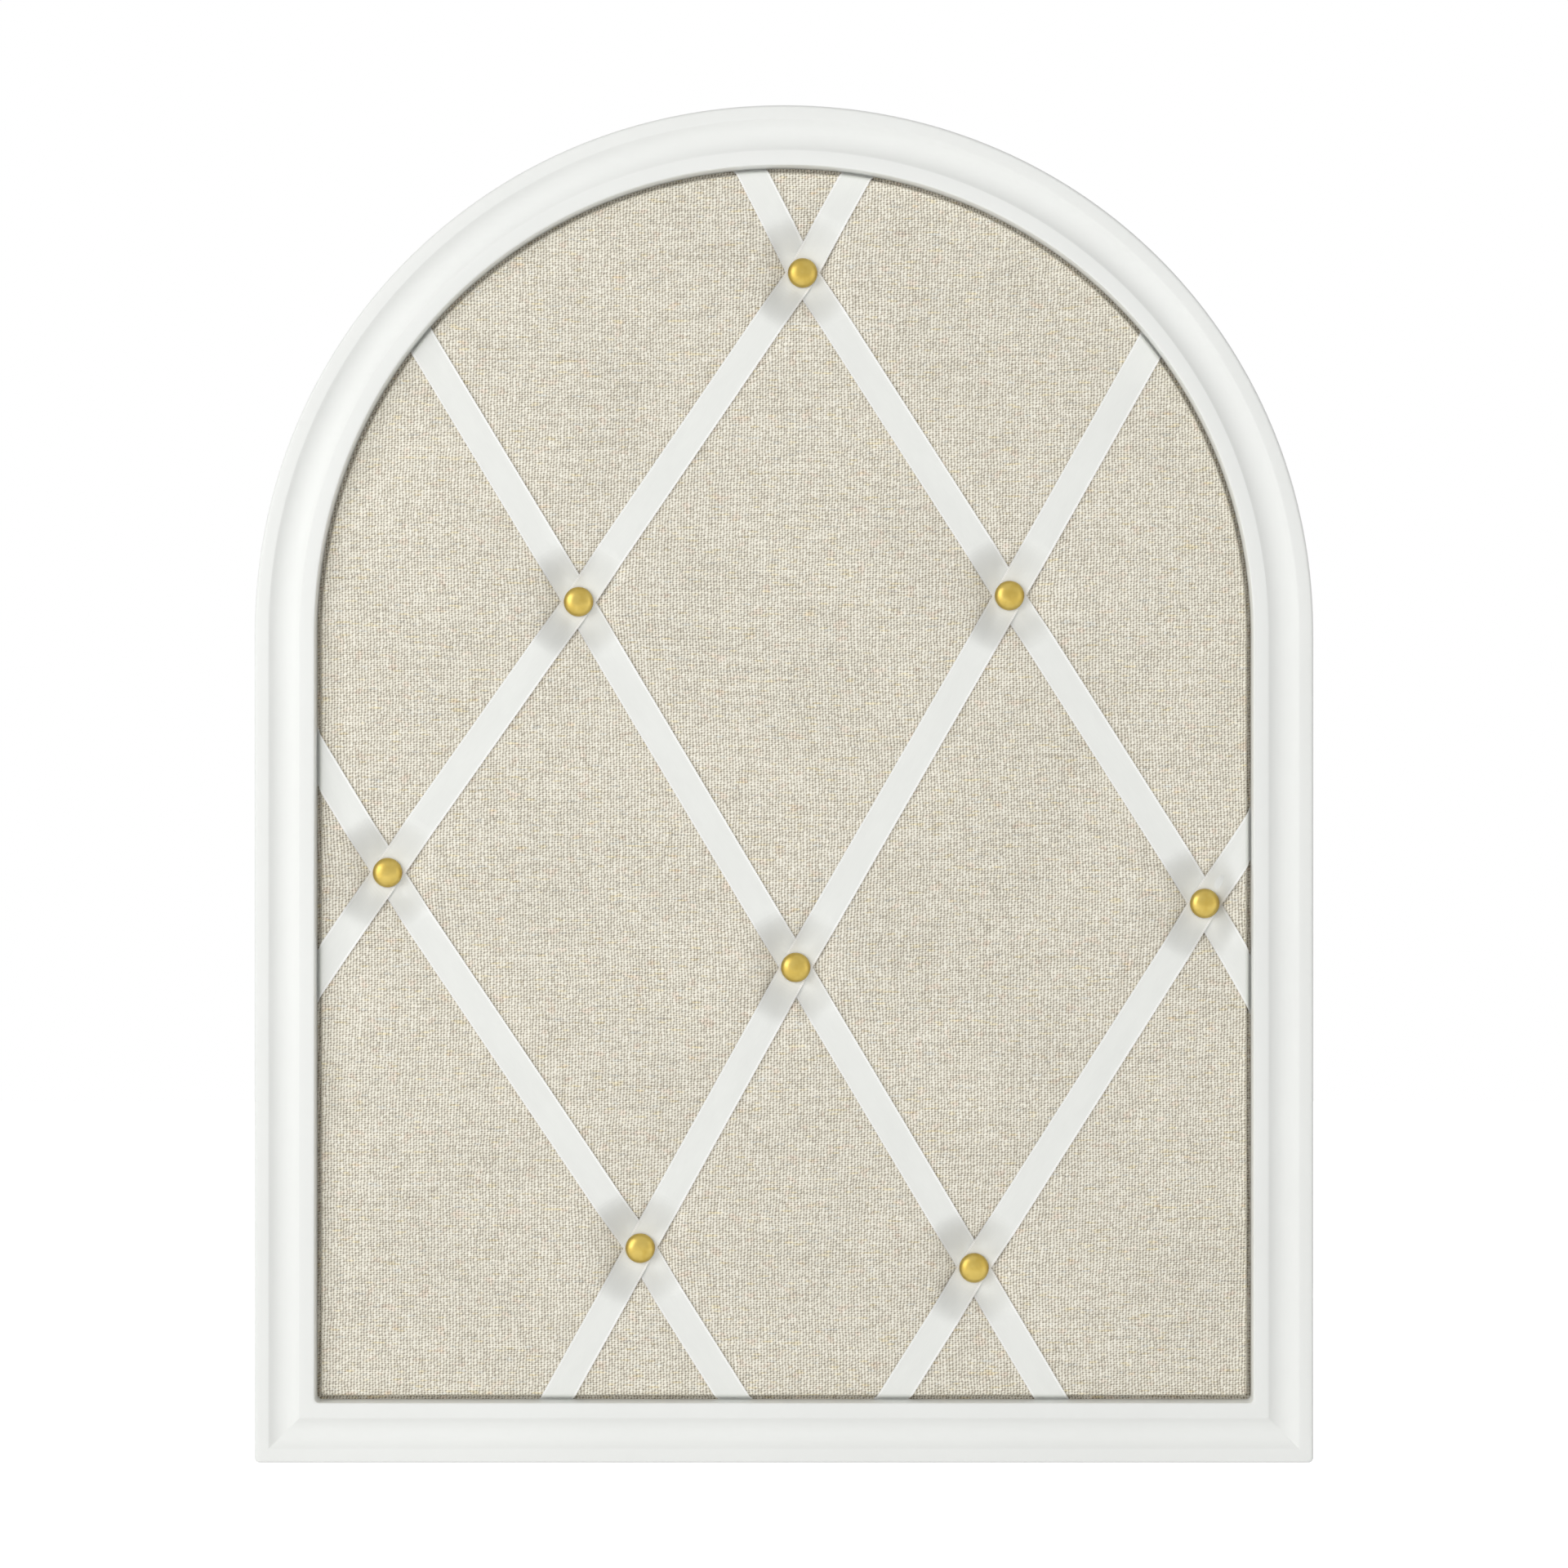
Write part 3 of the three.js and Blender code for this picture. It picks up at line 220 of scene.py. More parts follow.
STRAP_LENGTH = 23.0
STRAP_THICKNESS = 1.0
STRAP_CURL = 240.0
STRAP_CURL_RADIUS = 1.25
STRAP_EASE = 0.25
STRAP_END_ROWS = 4
STRAP_END_NARROW = 0.35
RING_AXIS_Y = -2.55
RING_AXIS_Z = -9.5
RING_HALF_WIDTH = 5.5
RING_CORNER = 1.7
RING_DROP = 10.5
RING_WIRE = 2.0
BUMPER_X = 154.0
BUMPER_DIAMETER = 10.0
BUMPER_FACE = 7.0
BUMPER_HEIGHT = 4.8
BUMPER_FOOT = 0.3
BUMPER_DISH = 0.02
V_NAIL_EDGE = 3.5
V_NAIL_LEG = 6.7
V_NAIL_THICKNESS = 0.6
V_NAIL_HEIGHT = 7.0
NAIL_PROUD = 0.05
STAPLE_LENGTH = 7.4
STAPLE_WIRE = 0.7
STAPLE_LEG = 4.0
STAPLE_BEND = 0.9
STAPLE_SIDES = 10
HEM_STAPLE_SIDES = 6
STAPLE_CROWN_Y = -4.15
HEM_STAPLE_INSET = 26.5
HEM_STAPLE_LENGTH = 9.0
HEM_STAPLE_CLEARANCE = 17.0
HEM_STAPLE_CROWN_Y = -4.55

# Angles in degrees past which an edge keeps a crease in the shading
SHARP_ANGLE = 40.0
LINEN_SHARP_ANGLE = 80.0
RIBBON_SHARP_ANGLE = 45.0

# Ribbon's answer to a tilt, and its selvedge in metres
SATIN_LUSTRE = 1.45
SELVEDGE_STITCH = 0.00066
SELVEDGE_IN = 0.00075
SELVEDGE_OUT = 0.0006

# Span that most of a noise falls in
NOISE_LOW = 0.3
NOISE_HIGH = 0.7

# Weave: wander and shifts in threads, threads to a run, and the weight of each part of its painted light,
# shade and tone
WANDER_ACROSS = 0.9
WANDER_UP = 1.1
ROW_RUN = 9.0
ROW_SHIFT = 0.32
COLUMN_RUN = 5.0
COLUMN_SHIFT = 0.2
WEAVE_UPRIGHT = 0.31
WEAVE_SLANT = 0.18
WEAVE_LEVEL = 0.26
WEAVE_CHANCE = 0.24
WARP_TONE = 0.19
WEFT_TONE = 0.38

# Stage, in metres, with each soft box's place, size, watts and whether metal mirrors it
CAMERA_HEIGHT = -0.02975
SENSOR_WIDTH = 36.0
FLOOR_HALF = 4.0
FLOOR_GLOW = 0.6
FLOOR_FADE_START = 0.9
FLOOR_FADE_END = 2.6
AMBIENT = 0.315
SOFT_BOXES = (
    ("key_box_left", (-1.35, -1.12, 0.42), (1.1, 1.4), 12.2, True),
    ("fill_box_right", (1.6, -0.95, 0.0), (1.0, 1.4), 2.4, True),
    ("front_box", (0.0, -1.9, 0.25), (2.0, 1.5), 11.7, False),
    ("back_box", (0.3, 1.9, 0.4), (2.0, 2.0), 11.0, False),
)

# Tacks and ribbons: shares of half the sight width, and of the sight height from its bottom
SIGHT_HALF = ARCH_RADIUS - MOULDING_WIDTH
SIGHT_BOTTOM = BOTTOM_Z + MOULDING_WIDTH
SIGHT_HEIGHT = BOARD_HEIGHT - 2 * MOULDING_WIDTH
TACK_SHARES = np.array([
    [0.04, 0.915],
    [-0.44, 0.648],
    [0.483, 0.653],
    [-0.849, 0.428],
    [0.025, 0.351],
    [0.901, 0.403],
    [-0.308, 0.123],
    [0.407, 0.107],
])
TACKS = np.column_stack([
    TACK_SHARES[:, 0] * SIGHT_HALF,
    SIGHT_BOTTOM + TACK_SHARES[:, 1] * SIGHT_HEIGHT,
])
RIBBON_ROUTES = {
    "rising_left": ([-0.996, 0.346], [3, 1, 0], [0.164, 1.0]),
    "rising_middle": ([-0.488, 0.0], [6, 4, 2], [0.79, 0.86]),
    "rising_right": ([0.23, 0.0], [7, 5], [1.009, 0.465]),
    "falling_left": ([-0.996, 0.52], [3, 6], [-0.105, 0.0]),
    "falling_middle": ([-0.783, 0.864], [1, 4, 7], [0.574, 0.0]),
    "falling_right": ([-0.074, 1.0], [0, 2, 5], [1.0, 0.337]),
}


# Grids and meshes


def grid_faces(rows, cols, close_rows=False, close_cols=False):
    """Quads of a grid numbered row by row. A closed direction joins its last line to its first."""
    row = np.arange(rows if close_rows else rows - 1)[:, None]
    col = np.arange(cols if close_cols else cols - 1)[None, :]
    row_next = (row + 1) % rows
    col_next = (col + 1) % cols
    corners = [row * cols + col, row * cols + col_next, row_next * cols + col_next, row_next * cols + col]
    return np.stack(corners, axis=-1).reshape(-1, 4)


def tube_faces(rows, cols):
    """Quads of a tube of rows, and one cap face at each end."""
    first = np.arange(cols)
    last = first + (rows - 1) * cols
    return [grid_faces(rows, cols, close_cols=True), first[None, ::-1], last[None, :]]


def lines(*values):
    """Joins runs of numbers into one array."""
    return np.concatenate([np.atleast_1d(np.asarray(value, float)) for value in values])


def smooth_step(low, high, value):
    """0 below low, 1 above high, and a cubic ramp with level ends between them."""
    share = np.clip((value - low) / (high - low), 0.0, 1.0)
    return share * share * (3.0 - 2.0 * share)


def add_piece(name, points, faces, materials, body, uv=None, rise=None, slots_of_faces=None,
              sharp=SHARP_ANGLE):
    """Makes a mesh piece from points in millimetres and lists of faces, and ties it to a body of the frame.

    The points go in as metres, and so does the rise of each point, which a finish can read. Points that
    fall together are welded, faces are turned outwards on closed pieces, and edges sharper than the given
    angle in degrees keep a crease in the shading.
    """
    mesh = bpy.data.meshes.new(name)
    face_lists = [face for block in faces for face in np.asarray(block).tolist()]
    mesh.from_pydata((np.asarray(points).reshape(-1, 3) * MM).tolist(), [], face_lists)
    for material in materials:
        mesh.materials.append(material)
    if slots_of_faces is not None:
        mesh.polygons.foreach_set("material_index", np.asarray(slots_of_faces, np.int32))
    if uv is not None:
        corner_vertex = np.empty(len(mesh.loops), np.int32)
        mesh.loops.foreach_get("vertex_index", corner_vertex)
        layer = mesh.uv_layers.new(name="cloth")
        flat_uv = (np.asarray(uv).reshape(-1, 2) * MM)[corner_vertex]
        layer.data.foreach_set("uv", flat_uv.astype(np.float32).ravel())
    if rise is not None:
        layer = mesh.attributes.new("rise", "FLOAT", "POINT")
        layer.data.foreach_set("value", (np.ravel(rise) * MM).astype(np.float32))
    shape = bmesh.new()
    shape.from_mesh(mesh)
    bmesh.ops.remove_doubles(shape, verts=shape.verts, dist=WELD_DISTANCE)
    bmesh.ops.dissolve_degenerate(shape, edges=shape.edges, dist=SLIVER_LENGTH)
    if all(edge.is_manifold for edge in shape.edges):
        bmesh.ops.recalc_face_normals(shape, faces=shape.faces)
    shape.to_mesh(mesh)
    shape.free()
    mesh.shade_smooth()
    mesh.set_sharp_from_angle(angle=np.radians(sharp))
    piece = bpy.data.objects.new(name, mesh)
    bpy.context.scene.collection.objects.link(piece)
    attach(piece, body)
    return piece


def sweep(path, side, up, section, closed=False):
    """Carries a section along a path: each point is path + side * section x + up * section y.

    Returns the grid of points, its quads and, on an open path, one cap face at each end.
    """
    grid = path[:, None, :] + side[:, None, :] * section[None, :, :1] + up[:, None, :] * section[None, :, 1:]
    rows, cols = grid.shape[:2]
    faces = tube_faces(rows, cols)
    if closed:
        faces = [grid_faces(rows, cols, close_rows=True, close_cols=True)]
    return grid.reshape(-1, 3), faces


def lathe(radius, height, centre, axis_sign, turns=64):
    """Turns a profile about an axis along Y: x and z are radius times cosine and sine, y is the height."""
    angle = np.linspace(0.0, 2.0 * np.pi, turns, endpoint=False)
    x = centre[0] + radius[:, None] * np.cos(angle)
    y = centre[1] + axis_sign * np.repeat(height[:, None], turns, axis=1)
    z = centre[2] + radius[:, None] * np.sin(angle)
    return np.stack([x, y, z], axis=-1), [grid_faces(len(radius), turns, close_cols=True)]


def arc(centre, radius, start, end, count):
    """Points on a circle, from one angle in degrees to another."""
    angle = np.radians(np.linspace(start, end, count))
    return np.column_stack([centre[0] + radius * np.cos(angle), centre[1] + radius * np.sin(angle)])


def tangents(path, closed=False):
    """Unit directions along a path, from each point's neighbours on both sides."""
    if closed:
        step = np.roll(path, -1, axis=0) - np.roll(path, 1, axis=0)
    else:
        step = np.gradient(path, axis=0)
    return step / np.linalg.norm(step, axis=1, keepdims=True)


# Outline of the board


def arch_station(angle):
    """Point of the arch's outer edge and its inward direction, for an array of angles.

    The arch is a superellipse: |x / r| to the fullness plus |z / r| to the fullness is one.
    """
    power = 2.0 / ARCH_FULLNESS
    cosine = np.cos(angle)
    across = np.sign(cosine) * np.abs(cosine) ** power
    up = np.maximum(np.sin(angle), 0.0) ** power
    slope_x = np.sign(across) * np.abs(across) ** (ARCH_FULLNESS - 1.0)
    slope_z = up ** (ARCH_FULLNESS - 1.0)
    length = np.hypot(slope_x, slope_z)
    return ARCH_RADIUS * across, SPRING_Z + ARCH_RADIUS * up, -slope_x / length, -slope_z / length


def arch_foot(x, z):
    """Angle and inset of points within the arch: the angle turns until its inward line meets the point."""
    angle = np.clip(np.arctan2(z - SPRING_Z, x), 0.0, np.pi)
    for _ in range(FOOT_STEPS):
        edge_x, edge_z, in_x, in_z = arch_station(angle)
        angle = np.clip(angle + ((x - edge_x) * in_z - (z - edge_z) * in_x) / ARCH_RADIUS, 0.0, np.pi)
    edge_x, edge_z, in_x, in_z = arch_station(angle)
    return angle, (x - edge_x) * in_x + (z - edge_z) * in_z


def inset_of(x, z):
    """Distance of points from the board's outline: to the nearest straight side, or to the arch above it."""
    straight = np.minimum(ARCH_RADIUS - np.abs(x), z - BOTTOM_Z)
    curved = arch_foot(x, np.maximum(z, SPRING_Z))[1]
    return np.where(z > SPRING_Z, curved, straight)


def pad_stations(arch_count, side_count, bottom_count, corner_count):
    """Points round the outline, anticlockwise from the right spring, and how an inset moves them.

    Every station is base + inset * step. The bottom corners turn on a small radius.
    """
    angle = np.linspace(0.0, np.pi, arch_count)
    edge_x, edge_z, in_x, in_z = arch_station(angle)
    side = np.linspace(0.0, 1.0, side_count + 1)[1:]
    low = BOTTOM_Z + LINEN_CORNER_RADIUS
    side_z = SPRING_Z + side * (low - SPRING_Z)
    turn = np.linspace(0.0, np.pi / 2, corner_count + 1)[1:]
    corner_x = -ARCH_RADIUS + LINEN_CORNER_RADIUS * (1.0 - np.cos(turn))
    corner_z = BOTTOM_Z + LINEN_CORNER_RADIUS * (1.0 - np.sin(turn))
    along = np.linspace(-1.0, 1.0, bottom_count + 1)[1:]
    half = ARCH_RADIUS - LINEN_CORNER_RADIUS
    back_turn = turn[:-1][::-1]
    right_x = ARCH_RADIUS - LINEN_CORNER_RADIUS * (1.0 - np.cos(back_turn))
    right_z = BOTTOM_Z + LINEN_CORNER_RADIUS * (1.0 - np.sin(back_turn))
    up = side[:-1][::-1]
    base_x = lines(edge_x, -ARCH_RADIUS + 0 * side, corner_x, along * half, right_x, ARCH_RADIUS,
                   ARCH_RADIUS + 0 * up)
    base_z = lines(edge_z, side_z, corner_z, BOTTOM_Z + 0 * along, right_z, low, side_z[:-1][::-1])
    step_x = lines(in_x, 1 + 0 * side, 1 + 0 * turn, -along, -1 + 0 * back_turn, -1, -1 + 0 * up)
    step_z = lines(in_z, side, 1 + 0 * turn, 1 + 0 * along, 1 + 0 * back_turn, 1, up)
    return np.column_stack([base_x, base_z]), np.column_stack([step_x, step_z])


# Relief of the padded panel


def segment_distance(x, z, start, end):
    """Distance of points from a straight piece of ribbon."""
    run = end - start
    share = ((x - start[0]) * run[0] + (z - start[1]) * run[1]) / (run @ run)
    share = np.clip(share, 0.0, 1.0)
    return np.hypot(x - start[0] - share * run[0], z - start[1] - share * run[1])


def share_point(share):
    """A point given as shares of half the sight width and of the sight height."""
    return np.array([share[0] * SIGHT_HALF, SIGHT_BOTTOM + share[1] * SIGHT_HEIGHT])


def route_points(name):
    """Corner points of a ribbon's middle line on the face: aim, tacks, aim."""
    start, tacks, end = RIBBON_ROUTES[name]
    return np.array([share_point(start)] + [TACKS[index] for index in tacks] + [share_point(end)])


def crown_depth(x, z):
    """Depth of the linen without tacks: flat at the roll, swelling forward a little inside it."""
    away = np.maximum(inset_of(x, z) - ROLL_INSET, 0.0)
    swell = PAD_SWELL * (1.0 - np.exp(-away / PAD_SWELL_RUN))
    return PAD_CROWN - LINEN_LIFT - swell


def linen_depth(x, z):
    """Depth of the linen's face: the crown, with dips, valleys and creases in it.

    Each tack has a bell-shaped dip and faint creases that fan out from it, and each ribbon a shallow valley.
    Under a ribbon the dip follows the ribbon's longer fall.
    """
    depth = crown_depth(x, z)
    reach = np.full_like(depth, VALLEY_OUTER)
    for name in RIBBON_ROUTES:
        points = route_points(name)
        for start, end in zip(points[:-1], points[1:]):
            reach = np.minimum(reach, segment_distance(x, z, start, end))
    valley = 1.0 - smooth_step(VALLEY_INNER, VALLEY_OUTER, reach)
    press = 1.0 - smooth_step(RIBBON_PRESS_START, RIBBON_PRESS_END, reach)
    seat = crown_depth(TACKS[:, 0], TACKS[:, 1])
    edge = smooth_step(ROLL_INSET, ROLL_INSET + RELIEF_EDGE_RUN, inset_of(x, z))
    depth = depth + VALLEY_DEPTH * valley * edge
    for index, (tack_x, tack_z) in enumerate(TACKS):
        radius = np.hypot(x - tack_x, z - tack_z)
        bearing = np.arctan2(z - tack_z, x - tack_x)
        bell = np.exp(-((radius / TUFT_RADIUS) ** TUFT_POWER))
        fall = 1.0 - smooth_step(RIBBON_DIP_START, RIBBON_DIP_END, radius)
        dip = (bell + (fall - bell) * press) * edge
        floor = PAD_CROWN - LINEN_LIFT + TUFT_DEPTH
        depth = depth + (floor - seat[index] - VALLEY_DEPTH * dip) * dip
        broad = np.cos(CREASE_FOLDS * bearing + CREASE_PHASE * index)
        fine = np.cos(FINE_CREASE_FOLDS * bearing + FINE_CREASE_PHASE * index)
        fan = broad + FINE_CREASE_SHARE * fine
        spread = smooth_step(CREASE_START, CREASE_FULL, radius) * np.exp(-((radius / CREASE_RADIUS) ** 2))
        depth = depth + CREASE_DEPTH * fan * spread * edge
    return depth


def edge_rows(lift, turn_count):
    """Insets and depths of a layer that rolls over the pad's edge, under the lip and round the board.

    The roll is a quarter ellipse that ends where it meets the layer lying under the lip. Row by row, from
    the face outwards, for an array of lifts over the foam.
    """
    lift = np.atleast_1d(np.asarray(lift, float))
    reach = ROLL_REACH + lift
    rise = PAD_UNDER_LIP - PAD_CROWN + lift
    turn = np.linspace(0.0, 1.0, turn_count)[:, None] * np.arccos(lift / rise)
    inset = ROLL_INSET - reach * np.sin(turn)
    depth = PAD_UNDER_LIP - rise * np.cos(turn)
    side = PANEL_INSET - lift
    front = PAD_UNDER_LIP - lift
    back = BOARD_BACK + lift
    bend = BOARD_BEND
    part = BOARD_BEND_SHARE * bend
    inset_tail = [side + bend, side + part, side, side, side + part, side + bend]
    depth_tail = [front, front + part, front + bend, back - bend, back - part, back]
    return np.vstack([inset] + inset_tail), np.vstack([depth] + depth_tail)


def weave_shift(x, z):
    """Where a point of the stretched linen lay in the flat cloth: drawn in at each tack, with a waver."""
    flat_x = x + WAVER_ACROSS * np.sin(z / WAVER_ACROSS_RUN + 0.6)
    flat_x = flat_x + RIPPLE_ACROSS * np.sin(z / RIPPLE_ACROSS_RUN + x / 60.0)
    flat_z = z + WAVER_UP * np.sin(x / WAVER_UP_RUN + 1.1)
    flat_z = flat_z + RIPPLE_UP * np.sin(x / RIPPLE_UP_RUN - z / 70.0)
    for tack_x, tack_z in TACKS:
        pull = WEAVE_PULL * np.exp(-(((x - tack_x) ** 2 + (z - tack_z) ** 2) / WEAVE_PULL_RADIUS**2))
        flat_x = flat_x + (x - tack_x) * pull
        flat_z = flat_z + (z - tack_z) * pull
    return flat_x, flat_z


# Moulded frame


def moulding_profile(cove_depth):
    """Closed section of the moulding as inset and depth, and which of its sides are bare wood.

    From the back: outer wall, rounded arris, flat band, cove on a circular arc, inner band, sight arris,
    inner wall, lip and rabbet.
    """
    cove_radius = (COVE_WIDTH**2 / 4 + cove_depth**2) / (2 * cove_depth)
    middle = OUTER_BAND + COVE_WIDTH / 2
    half_turn = np.degrees(np.arcsin(COVE_WIDTH / 2 / cove_radius))
    cove = arc([middle, cove_depth - cove_radius], cove_radius, 90 + half_turn, 90 - half_turn, 25)[1:-1]
    inner_edge = OUTER_BAND + COVE_WIDTH
    eased = np.array([[-1.0, 0.0], [-0.3, 0.12], [0.3, 0.45]]) * COVE_EDGE_EASE
    eased_back = (eased * [-1.0, 1.0])[::-1]
    front = np.vstack([
        [[0.0, MOULDING_DEPTH - BACK_CHAMFER], [0.0, MOULDING_DEPTH / 2]],
        arc([OUTER_EDGE_RADIUS] * 2, OUTER_EDGE_RADIUS, 180, 270, 9),
        eased + [OUTER_BAND, 0.0],
        cove,
        eased_back + [inner_edge, 0.0],
        arc([MOULDING_WIDTH - SIGHT_EDGE_RADIUS, SIGHT_EDGE_RADIUS], SIGHT_EDGE_RADIUS, 270, 360, 7),
        [[MOULDING_WIDTH, LIP_DEPTH - BACK_CHAMFER], [MOULDING_WIDTH - BACK_CHAMFER, LIP_DEPTH]],
    ])
    back = np.array([
        [RABBET_INSET, LIP_DEPTH],
        [RABBET_INSET, MOULDING_DEPTH],
        [BACK_CHAMFER, MOULDING_DEPTH],
    ])
    bare = np.zeros(len(front) + len(back), int)
    bare[len(front) - 1:] = 1
    return np.vstack([front, back]), bare


def corner_fan(inset, start, end, count):
    """Distances from the side and the bottom at a mitred corner, for turns between two angles in degrees.

    Each inset turns on its own small radius: wide at the outer edge and the sight edge, tight in the cove.
    """
    stops = [0.0, OUTER_BAND, OUTER_BAND + COVE_WIDTH, MOULDING_WIDTH]
    radii = [CORNER_RADIUS_OUTER, CORNER_RADIUS_COVE, CORNER_RADIUS_COVE, CORNER_RADIUS_SIGHT]
    radius = np.interp(inset, stops, radii)
    turn = np.radians(np.linspace(start, end, count))[:, None]
    return inset + radius - radius * np.cos(turn), inset + radius - radius * np.sin(turn)


def member_mesh(x, z, depth, bare):
    """Points, faces and material slots of one length of moulding from its rows of x and z."""
    y = np.broadcast_to(depth - WALL_DEPTH, x.shape)
    slots = lines(np.tile(bare, len(x) - 1), [1, 1]).astype(int)
    return np.stack([x, y, z], axis=-1), tube_faces(*x.shape), slots


def arch_rows(inset):
    """Rows of x and z round the arch, one for each station."""
    edge_x, edge_z, in_x, in_z = arch_station(np.linspace(0.0, np.pi, ARCH_STATIONS))
    return edge_x[:, None] + in_x[:, None] * inset, edge_z[:, None] + in_z[:, None] * inset


def stile_rows(inset, side):
    """Rows of x and z down a stile, ending in half of its mitred corner."""
    from_side, from_bottom = corner_fan(inset, 0.0, 45.0, MITRE_STATIONS)
    share = np.linspace(0.0, 1.0, STILE_STATIONS)[:-1, None]
    straight_z = SPRING_Z + share * (BOTTOM_Z + from_bottom[0] - SPRING_Z)
    straight_x = np.broadcast_to(inset, straight_z.shape)
    x = np.vstack([straight_x, from_side])
    return side * (ARCH_RADIUS - x), np.vstack([straight_z, BOTTOM_Z + from_bottom])


def rail_rows(inset):
    """Rows of x and z along the bottom rail, from one mitre to the other."""
    from_side, from_bottom = corner_fan(inset, 45.0, 90.0, MITRE_STATIONS)
    reach = ARCH_RADIUS - from_side[-1]
    share = np.linspace(-1.0, 1.0, RAIL_STATIONS)[1:-1, None]
    x = np.vstack([from_side - ARCH_RADIUS, share * reach, (ARCH_RADIUS - from_side)[::-1]])
    level = np.broadcast_to(inset, (len(share), len(inset)))
    return x, BOTTOM_Z + np.vstack([from_bottom, level, from_bottom[::-1]])


def sight_corner_surface(side):
    """Paint-filled round in a bottom corner of the sight opening, from the front face down to the lip.

    Each row is a quarter circle that touches both walls, closed by three points inside the wood. Near the
    front the circle grows by as much as the rounded sight edge falls back there.
    """
    depth = lines(SIGHT_CORNER_DEPTHS, SIGHT_EDGE_RADIUS, LIP_DEPTH - BACK_CHAMFER)
    short = np.maximum(SIGHT_EDGE_RADIUS - depth, 0.0)
    back = SIGHT_EDGE_RADIUS - np.sqrt(SIGHT_EDGE_RADIUS**2 - short**2)
    turn = np.linspace(np.pi, 1.5 * np.pi, 11)
    radius = (SIGHT_CORNER_RADIUS + back)[:, None]
    across = np.cos(turn) * radius + SIGHT_CORNER_RADIUS
    up = np.sin(turn) * radius + SIGHT_CORNER_RADIUS
    root = np.full((len(depth), 1), -SIGHT_CORNER_ROOT)
    reach = np.full((len(depth), 1), SIGHT_CORNER_RADIUS)
    across = np.hstack([across, reach, root, root])
    up = np.hstack([up, root, root, reach])
    x = side * (ARCH_RADIUS - MOULDING_WIDTH - across)
    z = BOTTOM_Z + MOULDING_WIDTH + up
    y = np.broadcast_to(depth[:, None] - WALL_DEPTH, x.shape)
    return np.stack([x, y, z], axis=-1), tube_faces(*x.shape)


# Linen and foam


def pad_rings(base, step, count):
    """Rings across the face, from the roll to the middle line of the board, as shares of the way there."""
    start = base + ROLL_INSET * step
    target_z = np.clip(start[:, 1], MIDDLE_LOW_Z, SPRING_Z)
    target = np.column_stack([np.zeros(len(start)), target_z])
    share = np.linspace(0.0, 1.0, count)[1:, None, None]
    return start + share * (target - start)


def linen_surface():
    """Points and flat-cloth coordinates of the linen: hem on the back, board edge, roll and face.

    Rows follow the edge profile, then shrink in rings to the middle line, with the depth from the relief.
    """
    base, step = pad_stations(*LINEN_STATIONS)
    inset, depth = edge_rows(LINEN_LIFT, LINEN_ROLL_ROWS)
    edge_count = len(inset)
    inset = lines(inset[:, 0], np.linspace(HEM_START_INSET, HEM_INSET, HEM_ROWS))
    depth = lines(depth[:, 0], np.full(HEM_ROWS, BOARD_BACK + LINEN_LIFT))
    run = np.cumsum(lines(0.0, np.hypot(np.diff(inset), np.diff(depth))))
    plan = base + inset[:, None, None] * step
    deep = np.repeat(depth[:, None], len(base), axis=1)
    travel = np.cumsum(lines(0.0, np.hypot(*np.diff(base, axis=0).T)))
    pleat = np.abs(np.sin(travel * np.pi / HEM_PLEAT_PITCH))
    pleat = pleat * np.where(base[:, 1] > SPRING_Z, 1.0, STRAIGHT_PLEAT_SHARE)
    fold = smooth_step(HEM_FOLD_INSET, HEM_INSET, inset) * (np.arange(len(inset)) >= edge_count)
    deep = deep - HEM_PLEAT_HEIGHT * fold[:, None] * pleat
    rings = pad_rings(base, step, LINEN_RINGS)
    face = linen_depth(rings[..., 0], rings[..., 1])
    outward = -step / np.linalg.norm(step, axis=1, keepdims=True)
    flat_start = np.stack(weave_shift(plan[0, :, 0], plan[0, :, 1]), axis=-1)
    flat_edge = flat_start + run[:, None, None] * outward
    flat_face = np.stack(weave_shift(rings[..., 0], rings[..., 1]), axis=-1)
    rows_xz = np.vstack([plan[::-1], rings])
    rows_depth = np.vstack([deep[::-1], face])
    points = np.stack([rows_xz[..., 0], rows_depth - WALL_DEPTH, rows_xz[..., 1]], axis=-1)
    return points, np.vstack([flat_edge[::-1], flat_face])


def foam_surface():
    """Closed pad under the linen: flat underside, rolled edge, and the linen's relief on top."""
    base, step = pad_stations(*FOAM_STATIONS)
    inset, depth = edge_rows(FOAM_LIFT, FOAM_ROLL_ROWS)
    inset = lines(inset[:FOAM_ROLL_ROWS, 0], PANEL_INSET, PANEL_INSET)
    depth = lines(depth[:FOAM_ROLL_ROWS, 0], PAD_UNDER_LIP, PAD_BACK)
    plan = base + inset[:, None, None] * step
    rings = pad_rings(base, step, FOAM_RINGS)
    face = linen_depth(rings[..., 0], rings[..., 1]) + LINEN_LIFT - FOAM_LIFT
    under = rings[::-1][::UNDERSIDE_RING_STEP]
    rows_xz = np.vstack([under, plan[::-1], rings])
    level = np.full(under.shape[:2], PAD_BACK)
    edge = np.repeat(depth[::-1, None], len(base), axis=1)
    rows_depth = np.vstack([level, edge, face])
    return np.stack([rows_xz[..., 0], rows_depth - WALL_DEPTH, rows_xz[..., 1]], axis=-1)


# Ribbons


def ribbon_section(width):
    """Loop across a ribbon: offsets from its middle line, and lifts over the foam.

    The upper side carries a raised thread along both edges, the under side is flat.
    """
    half = width / 2
    right = RIBBON_UPPER * half
    upper = lines(-right[::-1], 0.0, right)
    bead = SELVEDGE_HEIGHT * np.exp(-(((np.abs(upper) - half + SELVEDGE_INSET) / SELVEDGE_SPREAD) ** 2))
    under = RIBBON_UNDER * half
    lift = lines(RIBBON_LIFT + bead, np.full(len(under), RIBBON_LIFT - RIBBON_THICKNESS))
    return lines(upper, under), lift


